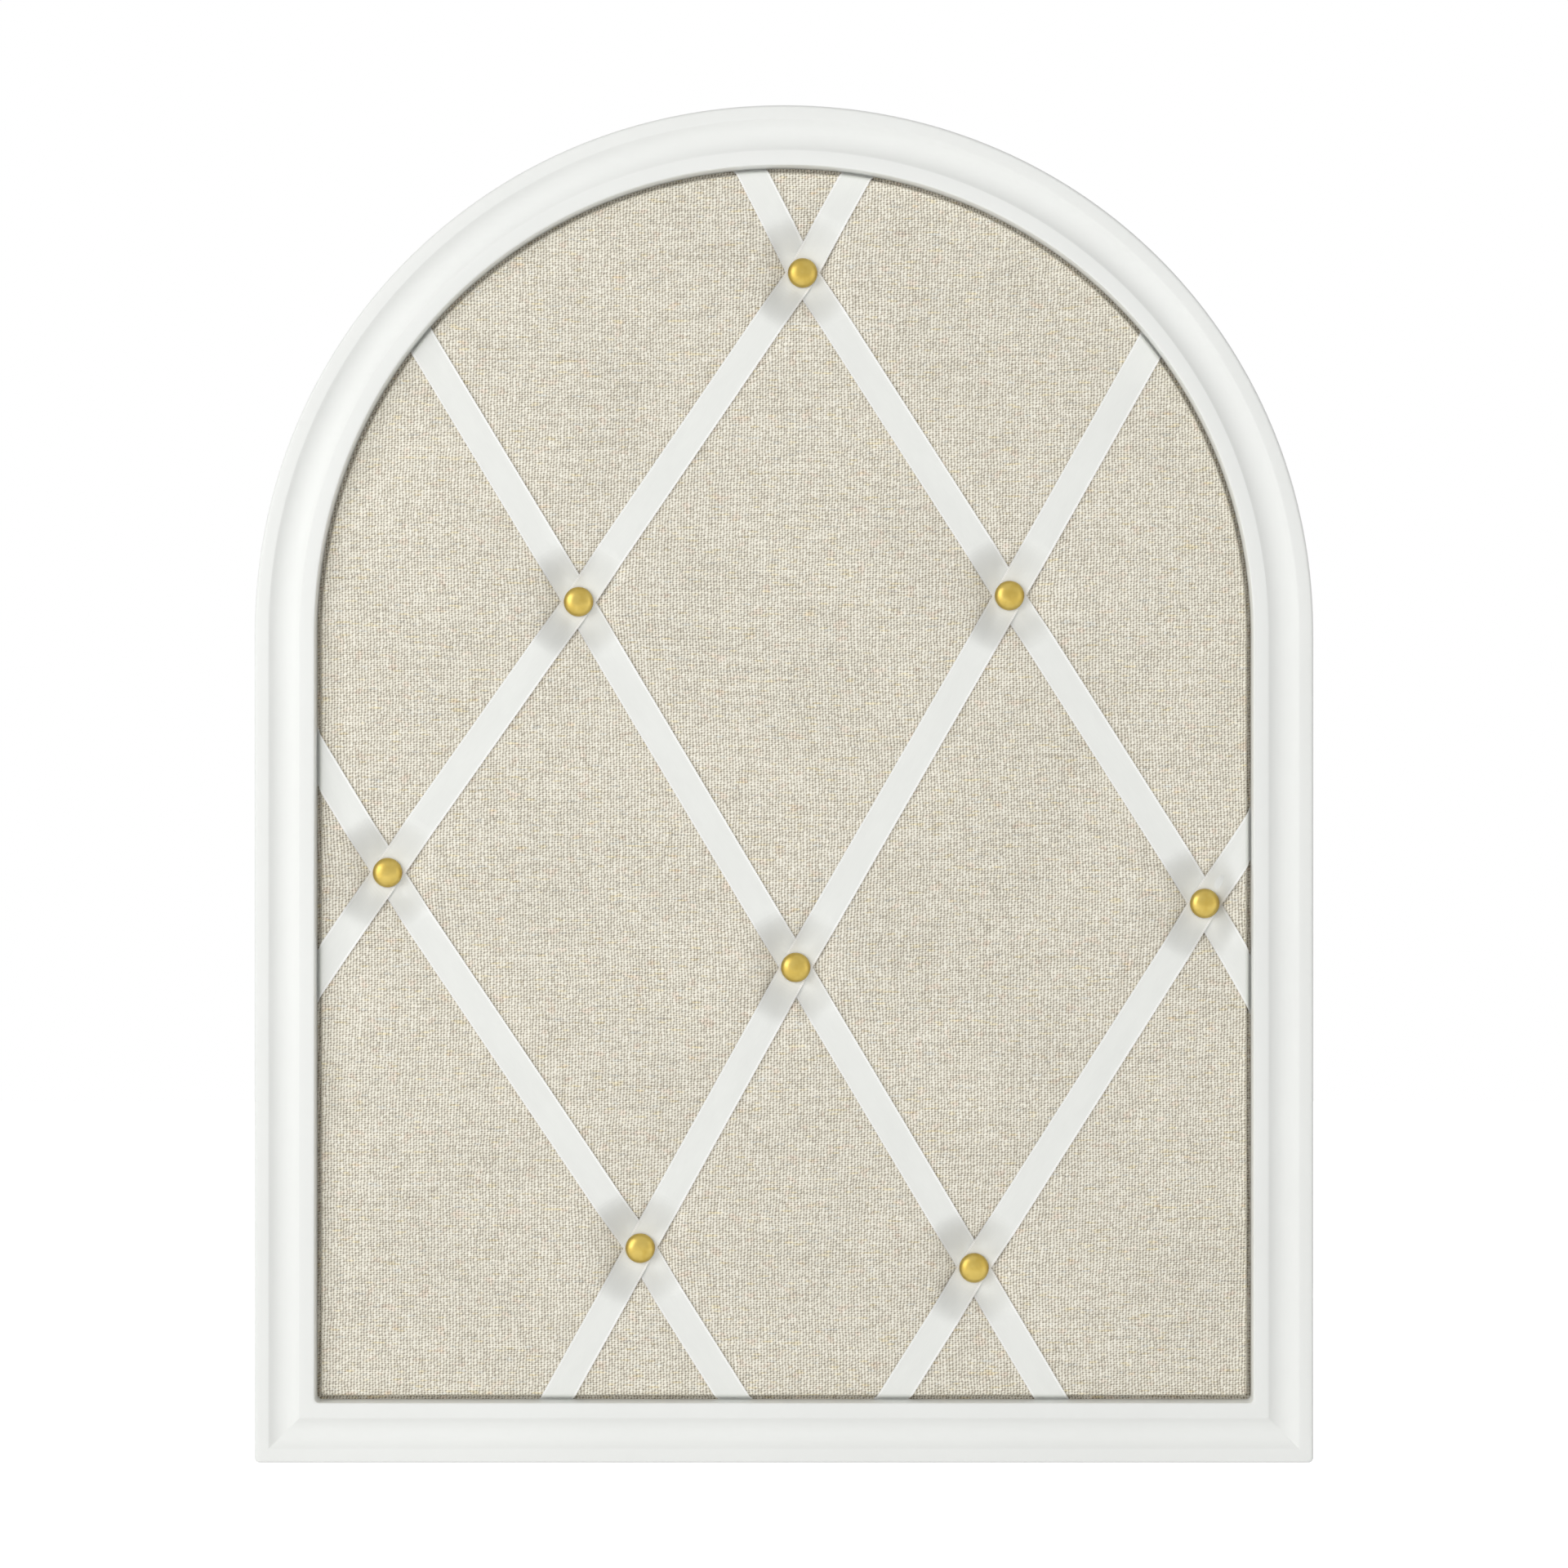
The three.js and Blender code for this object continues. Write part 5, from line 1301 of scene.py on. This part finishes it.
def linen_finish(colours, warp_pitch, weft_pitch):
    """Plain weave from the cloth's own coordinates, in metres.

    Upright threads are numbered across, level threads up the cloth. The weave's light and shade are painted
    into its colour as a sum of three cosines: one per upright thread, one per level thread, and one along
    the slant that the over-and-under of the weave and the twist of the yarn make together, with painted
    shade in the gaps between threads. Each row and each column is shifted a little by chance, each crossing
    has its own tone, and level slubs tint the yarn straw, rose or grey.
    """
    make = Finish("natural_linen", specular_ior_level=0.15, sheen_weight=0.08, sheen_roughness=0.6)
    across, up, _ = make.place("UV")
    wander = make.noise(make.point(across, up), 160.0, 2.0)
    u = make.math("MULTIPLY_ADD", across, 1.0 / warp_pitch, make.math("MULTIPLY", wander, WANDER_ACROSS))
    wander_up = make.noise(make.point(across, up, 0.3), 150.0, 2.0)
    v = make.math("MULTIPLY_ADD", up, 1.0 / weft_pitch, make.math("MULTIPLY", wander_up, WANDER_UP))
    stretch = make.math("FLOOR", make.math("MULTIPLY", u, 1.0 / ROW_RUN))
    row_chance = make.scatter(make.point(stretch, make.math("FLOOR", v), 5.0))
    v = make.math("MULTIPLY_ADD", row_chance, ROW_SHIFT, v)
    length = make.math("FLOOR", make.math("MULTIPLY", v, 1.0 / COLUMN_RUN))
    column_chance = make.scatter(make.point(make.math("FLOOR", u), length, 9.0))
    u = make.math("MULTIPLY_ADD", column_chance, COLUMN_SHIFT, u)
    upright = make.math("COSINE", make.math("MULTIPLY", u, 2.0 * np.pi))
    level = make.math("COSINE", make.math("MULTIPLY", v, 2.0 * np.pi))
    slant = make.math("COSINE", make.math("MULTIPLY", make.math("SUBTRACT", u, v), np.pi))
    warp = make.math("FLOOR", make.math("ADD", u, 0.5))
    weft = make.math("FLOOR", make.math("ADD", v, 0.5))
    crossing = make.scatter(make.point(warp, weft, 1.0))
    float_tone = make.scatter(make.point(warp, make.math("FLOOR", v), 2.0))
    warp_tone = make.drawn_noise((warp, up), (7.31, 55.0))
    weft_tone = make.drawn_noise((across, weft), (45.0, 5.77))
    # The weave's light and shade are painted into the colour here, with the random tones of threads and
    # crossings summed in
    light = 0.5
    for part, weight, middle in ((upright, WEAVE_UPRIGHT, 0.0), (slant, WEAVE_SLANT, 0.0),
                                 (level, WEAVE_LEVEL, 0.0), (crossing, WEAVE_CHANCE, 0.5),
                                 (float_tone, WEAVE_CHANCE, 0.5), (warp_tone, WARP_TONE, 0.5),
                                 (weft_tone, WEFT_TONE, 0.5)):
        light = make.math("MULTIPLY_ADD", make.math("SUBTRACT", part, middle), weight, light)
    # Painted shade: the hole colour fills the gaps between threads where the painted light is low
    cloth = make.mix(make.ramp(light, -0.05, 0.5), colours.linen_hole, colours.linen_cream)
    cloth = make.mix(make.ramp(light, 0.4, 0.95), cloth, colours.linen_pale)
    slub = make.drawn_noise((across, weft), (150.0, 2.17), detail=1.0, layer=9.0)
    patch = make.drawn_noise((across, up), (170.0, 260.0), detail=1.0, layer=3.0)
    cloth = make.mix(make.ramp(slub, 0.6, 0.74, 0.0, 0.8), cloth, colours.slub_straw, "MULTIPLY")
    cloth = make.mix(make.ramp(slub, 0.36, 0.26, 0.0, 0.7), cloth, colours.slub_grey, "MULTIPLY")
    cloth = make.mix(make.ramp(patch, 0.6, 0.74, 0.0, 0.7), cloth, colours.slub_rose, "MULTIPLY")
    broad = make.noise(make.point(across, up, 0.7), 22.0, 3.0)
    cloth = make.tone(cloth, make.span(broad, 0.975, 1.02))
    make.bump(make.ramp(light, 0.0, 1.0), 0.00009, 0.6)
    return make.finish(cloth, make.ramp(light, 0.0, 1.0, 0.95, 0.78))


def satin_finish(colours, width):
    """Single-face satin from the ribbon's own coordinates, in metres.

    It has fine long floats, a woven selvedge of small bright stitches along both edges, and soft lustre. The
    long floats answer a tilt more strongly than the shape does where the ribbon falls towards a tack, so the
    ribbon's rise is added to its shading.
    """
    make = Finish("white_satin", specular_ior_level=0.4, sheen_weight=0.1, sheen_roughness=0.4)
    across, along, _ = make.place("UV")
    floats = make.drawn_noise((across, along), (7000.0, 260.0))
    slow = make.drawn_noise((across, along), (160.0, 45.0))
    edge = make.ramp(make.math("ABSOLUTE", across), width / 2 - SELVEDGE_IN, width / 2 - SELVEDGE_OUT)
    stitch = make.math("SINE", make.math("MULTIPLY", along, 2.0 * np.pi / SELVEDGE_STITCH))
    stitch = make.math("MULTIPLY_ADD", stitch, 0.5, 0.5)
    body = make.tone(colours.satin, make.span(floats, 0.985, 1.012))
    body = make.tone(body, make.span(slow, 0.985, 1.01))
    thread = make.tone(colours.selvedge, make.ramp(stitch, 0.0, 0.6, 0.88, 1.0))
    tilt = make.bump(make.add("Attribute", attribute_name="rise").outputs["Fac"], SATIN_LUSTRE)
    raised = make.math("MULTIPLY_ADD", floats, 0.05, make.math("MULTIPLY", edge, stitch))
    make.bump(raised, 0.00003, 0.6, over=tilt)
    return make.finish(make.mix(edge, body, thread), make.span(floats, 0.36, 0.46))


# Sizes and colours that a user would change


def length_property(name, description, default):
    """A length in metres for the sidebar."""
    return bpy.props.FloatProperty(name=name, description=description, default=default, min=0.0,
                                   precision=5, subtype="DISTANCE", unit="LENGTH")


def colour_property(name, description, default):
    """A colour for the sidebar, given in linear light."""
    return bpy.props.FloatVectorProperty(name=name, description=description, default=default, size=3,
                                         min=0.0, max=1.0, subtype="COLOR")


class MemoBoardSizes(bpy.types.PropertyGroup):
    """Sizes of the visible pieces."""

    cove_depth: length_property("Cove depth", "Depth of the hollow in the moulding", 0.002)
    ribbon_width: length_property("Ribbon width", "Width of the satin ribbon", 0.01)
    warp_pitch: length_property("Upright thread pitch", "Between the linen's upright threads", 0.00103)
    weft_pitch: length_property("Level thread pitch", "Between the linen's level threads", 0.00063)
    camera_distance: length_property("Camera distance", "From the camera to the wall", 1.20315)
    floor_drop: length_property("Floor drop", "Height of the hanging point over the floor", 0.5)
    lens: bpy.props.FloatProperty(name="Lens", description="Focal length of the camera in millimetres",
                                  default=80.63, min=1.0, subtype="DISTANCE_CAMERA", unit="CAMERA")


class MemoBoardColours(bpy.types.PropertyGroup):
    """Colours of the finishes and the stage."""

    lacquer: colour_property("Lacquer", "White lacquer of the frame", (0.875, 0.885, 0.86))
    bare_wood: colour_property("Bare wood", "Wood at the back of the frame", (0.62, 0.45, 0.26))
    fibreboard: colour_property("Fibreboard", "Backer board", (0.26, 0.155, 0.08))
    foam: colour_property("Foam", "Padding", (0.86, 0.83, 0.7))
    linen_pale: colour_property("Pale linen", "Paler threads", (1.0, 0.965, 0.865))
    linen_cream: colour_property("Cream linen", "Creamier threads", (0.737, 0.685, 0.566))
    linen_hole: colour_property("Linen hole", "Shade between the threads", (0.29, 0.254, 0.198))
    slub_straw: colour_property("Straw slub", "Yellow slubs", (1.0, 0.94, 0.76))
    slub_grey: colour_property("Grey slub", "Blue grey slubs", (0.85, 0.89, 0.95))
    slub_rose: colour_property("Rose slub", "Pinkish slubs", (1.0, 0.91, 0.88))
    satin: colour_property("Satin", "White satin ribbon", (0.85, 0.86, 0.825))
    selvedge: colour_property("Selvedge", "Stitched edge of the ribbon", (0.985, 0.985, 0.962))
    brass: colour_property("Brass", "Domed tacks", (0.55, 0.41, 0.11))
    steel: colour_property("Steel", "Plated hardware", (0.6, 0.61, 0.63))
    rubber: colour_property("Rubber", "Wall bumpers", (0.045, 0.045, 0.048))
    stage_white: colour_property("Stage", "Floor and background", (1.0, 1.0, 1.0))


# Finishes by name, each made from the sizes and colours of the sidebar
FINISH_MAKERS = {
    "white_lacquer": lambda sizes, colours: lacquer_finish(colours.lacquer),
    "bare_wood_upright": lambda sizes, colours: bare_wood_finish(
        "bare_wood_upright", colours.bare_wood, level=False),
    "bare_wood_level": lambda sizes, colours: bare_wood_finish(
        "bare_wood_level", colours.bare_wood, level=True),
    "pressed_fibreboard": lambda sizes, colours: fibreboard_finish(colours.fibreboard),
    "pad_foam": lambda sizes, colours: foam_finish(colours.foam),
    "natural_linen": lambda sizes, colours: linen_finish(colours, sizes.warp_pitch, sizes.weft_pitch),
    "white_satin": lambda sizes, colours: satin_finish(colours, sizes.ribbon_width),
    "tack_brass": lambda sizes, colours: brass_finish(colours.brass),
    "plated_steel": lambda sizes, colours: steel_finish(colours.steel),
    "bumper_rubber": lambda sizes, colours: rubber_finish(colours.rubber),
}


def finish_named(context, name):
    """The material of a finish, made at its first use."""
    ready = bpy.data.materials.get(name)
    if ready is None:
        ready = FINISH_MAKERS[name](context.scene.memo_board_sizes, context.scene.memo_board_colours)
    return ready


def dress_node(node, material):
    """Gives a CAD node that stays in view its finish."""
    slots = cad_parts[node].data.materials
    if len(slots) == 0:
        slots.append(material)
    for index in range(len(slots)):
        slots[index] = material


# Pieces


class MEMOBOARD_OT_frame(bpy.types.Operator):
    """Make the moulded frame: arch, two stiles and bottom rail"""

    bl_idname = "memo_board.frame"
    bl_label = "Moulded frame"

    def execute(self, context):
        profile, bare = moulding_profile(context.scene.memo_board_sizes.cove_depth / MM)
        inset = profile[:, 0]
        members = {
            "moulding_arch": (arch_rows(inset), "frame_arch", "bare_wood_level"),
            "moulding_stile_left": (stile_rows(inset, -1), "frame_stile_left", "bare_wood_upright"),
            "moulding_stile_right": (stile_rows(inset, 1), "frame_stile_right", "bare_wood_upright"),
            "moulding_rail": (rail_rows(inset), "frame_bottom_rail", "bare_wood_level"),
        }
        for name, ((x, z), node, wood) in members.items():
            materials = [finish_named(context, "white_lacquer"), finish_named(context, wood)]
            points, faces, slots = member_mesh(x, z, profile[:, 1], bare)
            piece = add_piece(name, points, faces, materials, "board",
                              slots_of_faces=slots)
            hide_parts(node)
        lacquer = [finish_named(context, "white_lacquer")]
        for name, side in (("left", -1), ("right", 1)):
            points, faces = sight_corner_surface(side)
            add_piece("sight_corner_" + name, points, faces, lacquer, "board")
        return {"FINISHED"}


class MEMOBOARD_OT_pad(bpy.types.Operator):
    """Make the foam pad under the linen"""

    bl_idname = "memo_board.pad"
    bl_label = "Foam pad"

    def execute(self, context):
        points = foam_surface()
        faces = [grid_faces(*points.shape[:2], close_cols=True)]
        piece = add_piece("pad_core", points, faces, [finish_named(context, "pad_foam")], "board")
        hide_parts("foam_pad")
        return {"FINISHED"}


class MEMOBOARD_OT_linen(bpy.types.Operator):
    """Make the linen cover, stretched over the pad and folded round the board"""

    bl_idname = "memo_board.linen"
    bl_label = "Linen cover"

    def execute(self, context):
        points, flat = linen_surface()
        faces = [grid_faces(*points.shape[:2], close_cols=True)]
        material = finish_named(context, "natural_linen")
        piece = add_piece("linen_face", points, faces, [material], "board", uv=flat,
                          sharp=LINEN_SHARP_ANGLE)
        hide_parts("linen_cover")
        return {"FINISHED"}


class MEMOBOARD_OT_ribbons(bpy.types.Operator):
    """Make the six satin ribbons, the rising ones over the falling ones"""

    bl_idname = "memo_board.ribbons"
    bl_label = "Satin ribbons"

    def execute(self, context):
        width = round(context.scene.memo_board_sizes.ribbon_width / MM, 3)
        material = finish_named(context, "white_satin")
        for name in RIBBON_ROUTES:
            points, faces, flat, run, rise = ribbon_surface(name, width)
            piece = add_piece("satin_" + name, points, faces, [material], "board", uv=flat,
                              rise=rise, sharp=RIBBON_SHARP_ANGLE)
            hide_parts("ribbon_" + name)
        return {"FINISHED"}


class MEMOBOARD_OT_tacks(bpy.types.Operator):
    """Make the domed brass tacks at the crossings"""

    bl_idname = "memo_board.tacks"
    bl_label = "Brass tacks"

    def execute(self, context):
        material = finish_named(context, "tack_brass")
        radius, height = tack_profile()
        for index, (x, z) in enumerate(TACKS, start=1):
            points, faces = lathe(radius, height, (x, TACK_RIM_Y, z), -1.0)
            piece = add_piece(f"dome_tack_{index}", points, faces, [material], "board")
            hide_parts(f"tack_{index}")
        return {"FINISHED"}


class MEMOBOARD_OT_staples(bpy.types.Operator):
    """Make the staples in the ribbon tails and round the linen's hem"""

    bl_idname = "memo_board.staples"
    bl_label = "Staples"

    def execute(self, context):
        material = finish_named(context, "plated_steel")
        tails = ribbon_staples()
        for name, (middle, heading) in tails.items():
            points, faces = staple_surface(middle, heading, STAPLE_CROWN_Y, STAPLE_LENGTH, STAPLE_SIDES)
            piece = add_piece("tail_staple_" + name, points, faces, [material], "board")
            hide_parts("staple_" + name)
        middles, headings = hem_staple_places(button_places(), tails)
        for index, (middle, heading) in enumerate(zip(middles, headings), start=1):
            points, faces = staple_surface(middle, heading, HEM_STAPLE_CROWN_Y, HEM_STAPLE_LENGTH,
                                           HEM_STAPLE_SIDES)
            add_piece(f"hem_staple_{index:02d}", points, faces, [material], "board")
        return {"FINISHED"}


class MEMOBOARD_OT_buttons(bpy.types.Operator):
    """Make the turn buttons that hold the panel in the frame, with their screws"""

    bl_idname = "memo_board.buttons"
    bl_label = "Turn buttons"

    def execute(self, context):
        material = finish_named(context, "plated_steel")
        for index, (name, (pivot, heading)) in enumerate(button_places().items()):
            points, faces = button_surface(pivot, heading)
            piece = add_piece("button_bar_" + name, points, faces, [material], "button_" + name)
            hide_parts("turn_button_" + name)
            turn = BUTTON_SCREW_TURN + BUTTON_SCREW_STEP * index
            points, faces = screw_surface((pivot[0], BUTTON_SCREW_Y, pivot[1]), turn)
            piece = add_piece("button_screw_" + name, points, faces, [material], "board")
            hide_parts("turn_button_screw_" + name)
        return {"FINISHED"}


class MEMOBOARD_OT_hangers(bpy.types.Operator):
    """Make the strap hangers with their screws and D-rings"""

    bl_idname = "memo_board.hangers"
    bl_label = "Strap hangers"

    def execute(self, context):
        material = finish_named(context, "plated_steel")
        for name, side in (("left", -1), ("right", 1)):
            points, faces = strap_surface(side)
            piece = add_piece("strap_" + name, points, faces, [material], "board")
            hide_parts("hanger_strap_" + name)
            turn = HANGER_SCREW_TURN + HANGER_SCREW_STEP * side
            points, faces = screw_surface((side * HANGER_X, HANGER_SCREW_Y, HANGER_SCREW_Z), turn)
            piece = add_piece("strap_screw_" + name, points, faces, [material], "board")
            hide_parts("hanger_screw_" + name)
            points, faces = ring_surface(side)
            piece = add_piece("d_ring_" + name, points, faces, [material], "ring_" + name)
            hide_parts("hanger_ring_" + name)
        return {"FINISHED"}


class MEMOBOARD_OT_back_fittings(bpy.types.Operator):
    """Make the bumpers and V-nails, and finish the backer board and dowels"""

    bl_idname = "memo_board.back_fittings"
    bl_label = "Back fittings"

    def execute(self, context):
        radius, height = bumper_profile()
        for name, side in (("left", -1), ("right", 1)):
            centre = (side * BUMPER_X, HARDWARE_SEAT_Y, BOTTOM_Z + LAND_INSET)
            points, faces = lathe(radius, height, centre, 1.0)
            rubber = finish_named(context, "bumper_rubber")
            piece = add_piece("bumper_" + name, points, faces, [rubber], "board")
            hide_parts("wall_bumper_" + name)
            points, faces = nail_surface(side)
            steel = finish_named(context, "plated_steel")
            piece = add_piece("v_nail_" + name, points, faces, [steel], "board")
            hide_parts("mitre_v_nail_" + name)
            dress_node("arch_dowel_" + name, finish_named(context, "bare_wood_upright"))
        dress_node("backer_board", finish_named(context, "pressed_fibreboard"))
        return {"FINISHED"}


# Stage


def light_path_mask(tree):
    """1 for rays that see the background directly, in a mirror or through glass, otherwise 0."""
    path = tree.nodes.new("ShaderNodeLightPath")
    mask = path.outputs["Is Camera Ray"]
    for ray in ("Is Glossy Ray", "Is Transmission Ray"):
        larger = tree.nodes.new("ShaderNodeMath")
        larger.operation = "MAXIMUM"
        tree.links.new(mask, larger.inputs[0])
        tree.links.new(path.outputs[ray], larger.inputs[1])
        mask = larger.outputs[0]
    return mask


def scaled(tree, value, factor, offset):
    """A number times a factor plus an offset."""
    node = tree.nodes.new("ShaderNodeMath")
    node.operation = "MULTIPLY_ADD"
    tree.links.new(value, node.inputs[0])
    node.inputs[1].default_value = factor
    node.inputs[2].default_value = offset
    return node.outputs[0]


def make_floor(context):
    """Pale floor below the hanging board. It takes the board's shadow near by and fades to white far off."""
    level = -context.scene.memo_board_sizes.floor_drop
    edge = np.linspace(-FLOOR_HALF, FLOOR_HALF, 3)
    x, y = np.meshgrid(edge, edge)
    points = np.stack([x, y, np.full_like(x, level)], axis=-1).reshape(-1, 3)
    mesh = bpy.data.meshes.new("pale_floor")
    mesh.from_pydata(points.tolist(), [], grid_faces(3, 3).tolist())
    floor = bpy.data.objects.new("pale_floor", mesh)
    context.scene.collection.objects.link(floor)
    material = bpy.data.materials.new("pale_floor")
    material.use_nodes = True
    tree = material.node_tree
    tree.nodes.clear()
    diffuse = tree.nodes.new("ShaderNodeBsdfDiffuse")
    diffuse.inputs["Color"].default_value = (*context.scene.memo_board_colours.stage_white, 1.0)
    glow = tree.nodes.new("ShaderNodeEmission")
    place = tree.nodes.new("ShaderNodeTexCoord").outputs["Object"]
    distance = tree.nodes.new("ShaderNodeVectorMath")
    distance.operation = "LENGTH"
    tree.links.new(place, distance.inputs[0])
    fade = tree.nodes.new("ShaderNodeMapRange")
    tree.links.new(distance.outputs["Value"], fade.inputs[0])
    for socket, value in zip(fade.inputs[1:5], (FLOOR_FADE_START, FLOOR_FADE_END, FLOOR_GLOW, 1.0)):
        socket.default_value = value
    strength = tree.nodes.new("ShaderNodeMath")
    strength.operation = "MULTIPLY"
    tree.links.new(light_path_mask(tree), strength.inputs[0])
    tree.links.new(fade.outputs[0], strength.inputs[1])
    tree.links.new(strength.outputs[0], glow.inputs["Strength"])
    both = tree.nodes.new("ShaderNodeAddShader")
    tree.links.new(diffuse.outputs[0], both.inputs[0])
    tree.links.new(glow.outputs[0], both.inputs[1])
    output = tree.nodes.new("ShaderNodeOutputMaterial")
    tree.links.new(both.outputs[0], output.inputs["Surface"])
    mesh.materials.append(material)


def make_world(context):
    """White background for the camera and for reflections, and a plain soft light from all round."""
    world = bpy.data.worlds.new("white_studio")
    world.use_nodes = True
    tree = world.node_tree
    tree.nodes.clear()
    sky = tree.nodes.new("ShaderNodeBackground")
    sky.inputs["Color"].default_value = (*context.scene.memo_board_colours.stage_white, 1.0)
    tree.links.new(scaled(tree, light_path_mask(tree), 1.0 - AMBIENT, AMBIENT), sky.inputs["Strength"])
    output = tree.nodes.new("ShaderNodeOutputWorld")
    tree.links.new(sky.outputs[0], output.inputs["Surface"])
    context.scene.world = world


def make_lamp(context, name, place, size, power, mirrored):
    """A soft box that faces the middle of the board, and shows in polished metal or not."""
    data = bpy.data.lights.new(name, "AREA")
    data.shape = "RECTANGLE"
    data.size, data.size_y = size
    data.energy = power
    lamp = bpy.data.objects.new(name, data)
    context.scene.collection.objects.link(lamp)
    lamp.location = place
    towards = Vector((0.0, 0.0, CAMERA_HEIGHT)) - lamp.location
    lamp.rotation_euler = towards.to_track_quat("-Z", "Y").to_euler()
    lamp.visible_camera = False
    lamp.visible_glossy = mirrored


class MEMOBOARD_OT_stage(bpy.types.Operator):
    """Set the camera at the photograph's view, the floor, the background and the soft boxes"""

    bl_idname = "memo_board.stage"
    bl_label = "Stage"

    def execute(self, context):
        sizes = context.scene.memo_board_sizes
        data = bpy.data.cameras.new("front_view")
        data.sensor_width = SENSOR_WIDTH
        data.lens = sizes.lens
        camera = bpy.data.objects.new("front_view", data)
        context.scene.collection.objects.link(camera)
        camera.location = (0.0, -sizes.camera_distance, CAMERA_HEIGHT)
        camera.rotation_euler = (np.pi / 2, 0.0, 0.0)
        context.scene.camera = camera
        context.scene.view_settings.view_transform = "Standard"
        make_world(context)
        make_floor(context)
        for box in SOFT_BOXES:
            make_lamp(context, *box)
        return {"FINISHED"}


class MEMOBOARD_PT_pieces(bpy.types.Panel):
    """Sidebar panel that lists the pieces in the order they are made"""

    bl_label = "Memo board"
    bl_idname = "MEMOBOARD_PT_pieces"
    bl_space_type = "VIEW_3D"
    bl_region_type = "UI"
    bl_category = "Memo board"

    def draw(self, context):
        for maker in MAKERS:
            self.layout.operator(maker.bl_idname)
        for group in (context.scene.memo_board_sizes, context.scene.memo_board_colours):
            column = self.layout.column()
            for name in group.__annotations__:
                column.prop(group, name)


MAKERS = (
    MEMOBOARD_OT_stage,
    MEMOBOARD_OT_frame,
    MEMOBOARD_OT_pad,
    MEMOBOARD_OT_linen,
    MEMOBOARD_OT_ribbons,
    MEMOBOARD_OT_tacks,
    MEMOBOARD_OT_staples,
    MEMOBOARD_OT_buttons,
    MEMOBOARD_OT_hangers,
    MEMOBOARD_OT_back_fittings,
)
CLASSES = (MemoBoardSizes, MemoBoardColours) + MAKERS + (MEMOBOARD_PT_pieces,)


def register():
    """Registers the classes and hangs the settings on the scene."""
    for cls in CLASSES:
        bpy.utils.register_class(cls)
    bpy.types.Scene.memo_board_sizes = bpy.props.PointerProperty(type=MemoBoardSizes)
    bpy.types.Scene.memo_board_colours = bpy.props.PointerProperty(type=MemoBoardColours)


def unregister():
    """Takes the settings and the classes away again."""
    del bpy.types.Scene.memo_board_colours
    del bpy.types.Scene.memo_board_sizes
    for cls in reversed(CLASSES):
        bpy.utils.unregister_class(cls)


def main():
    register()
    for maker in MAKERS:
        group, name = maker.bl_idname.split(".")
        getattr(getattr(bpy.ops, group), name)()


if __name__ == "__main__":
    main()
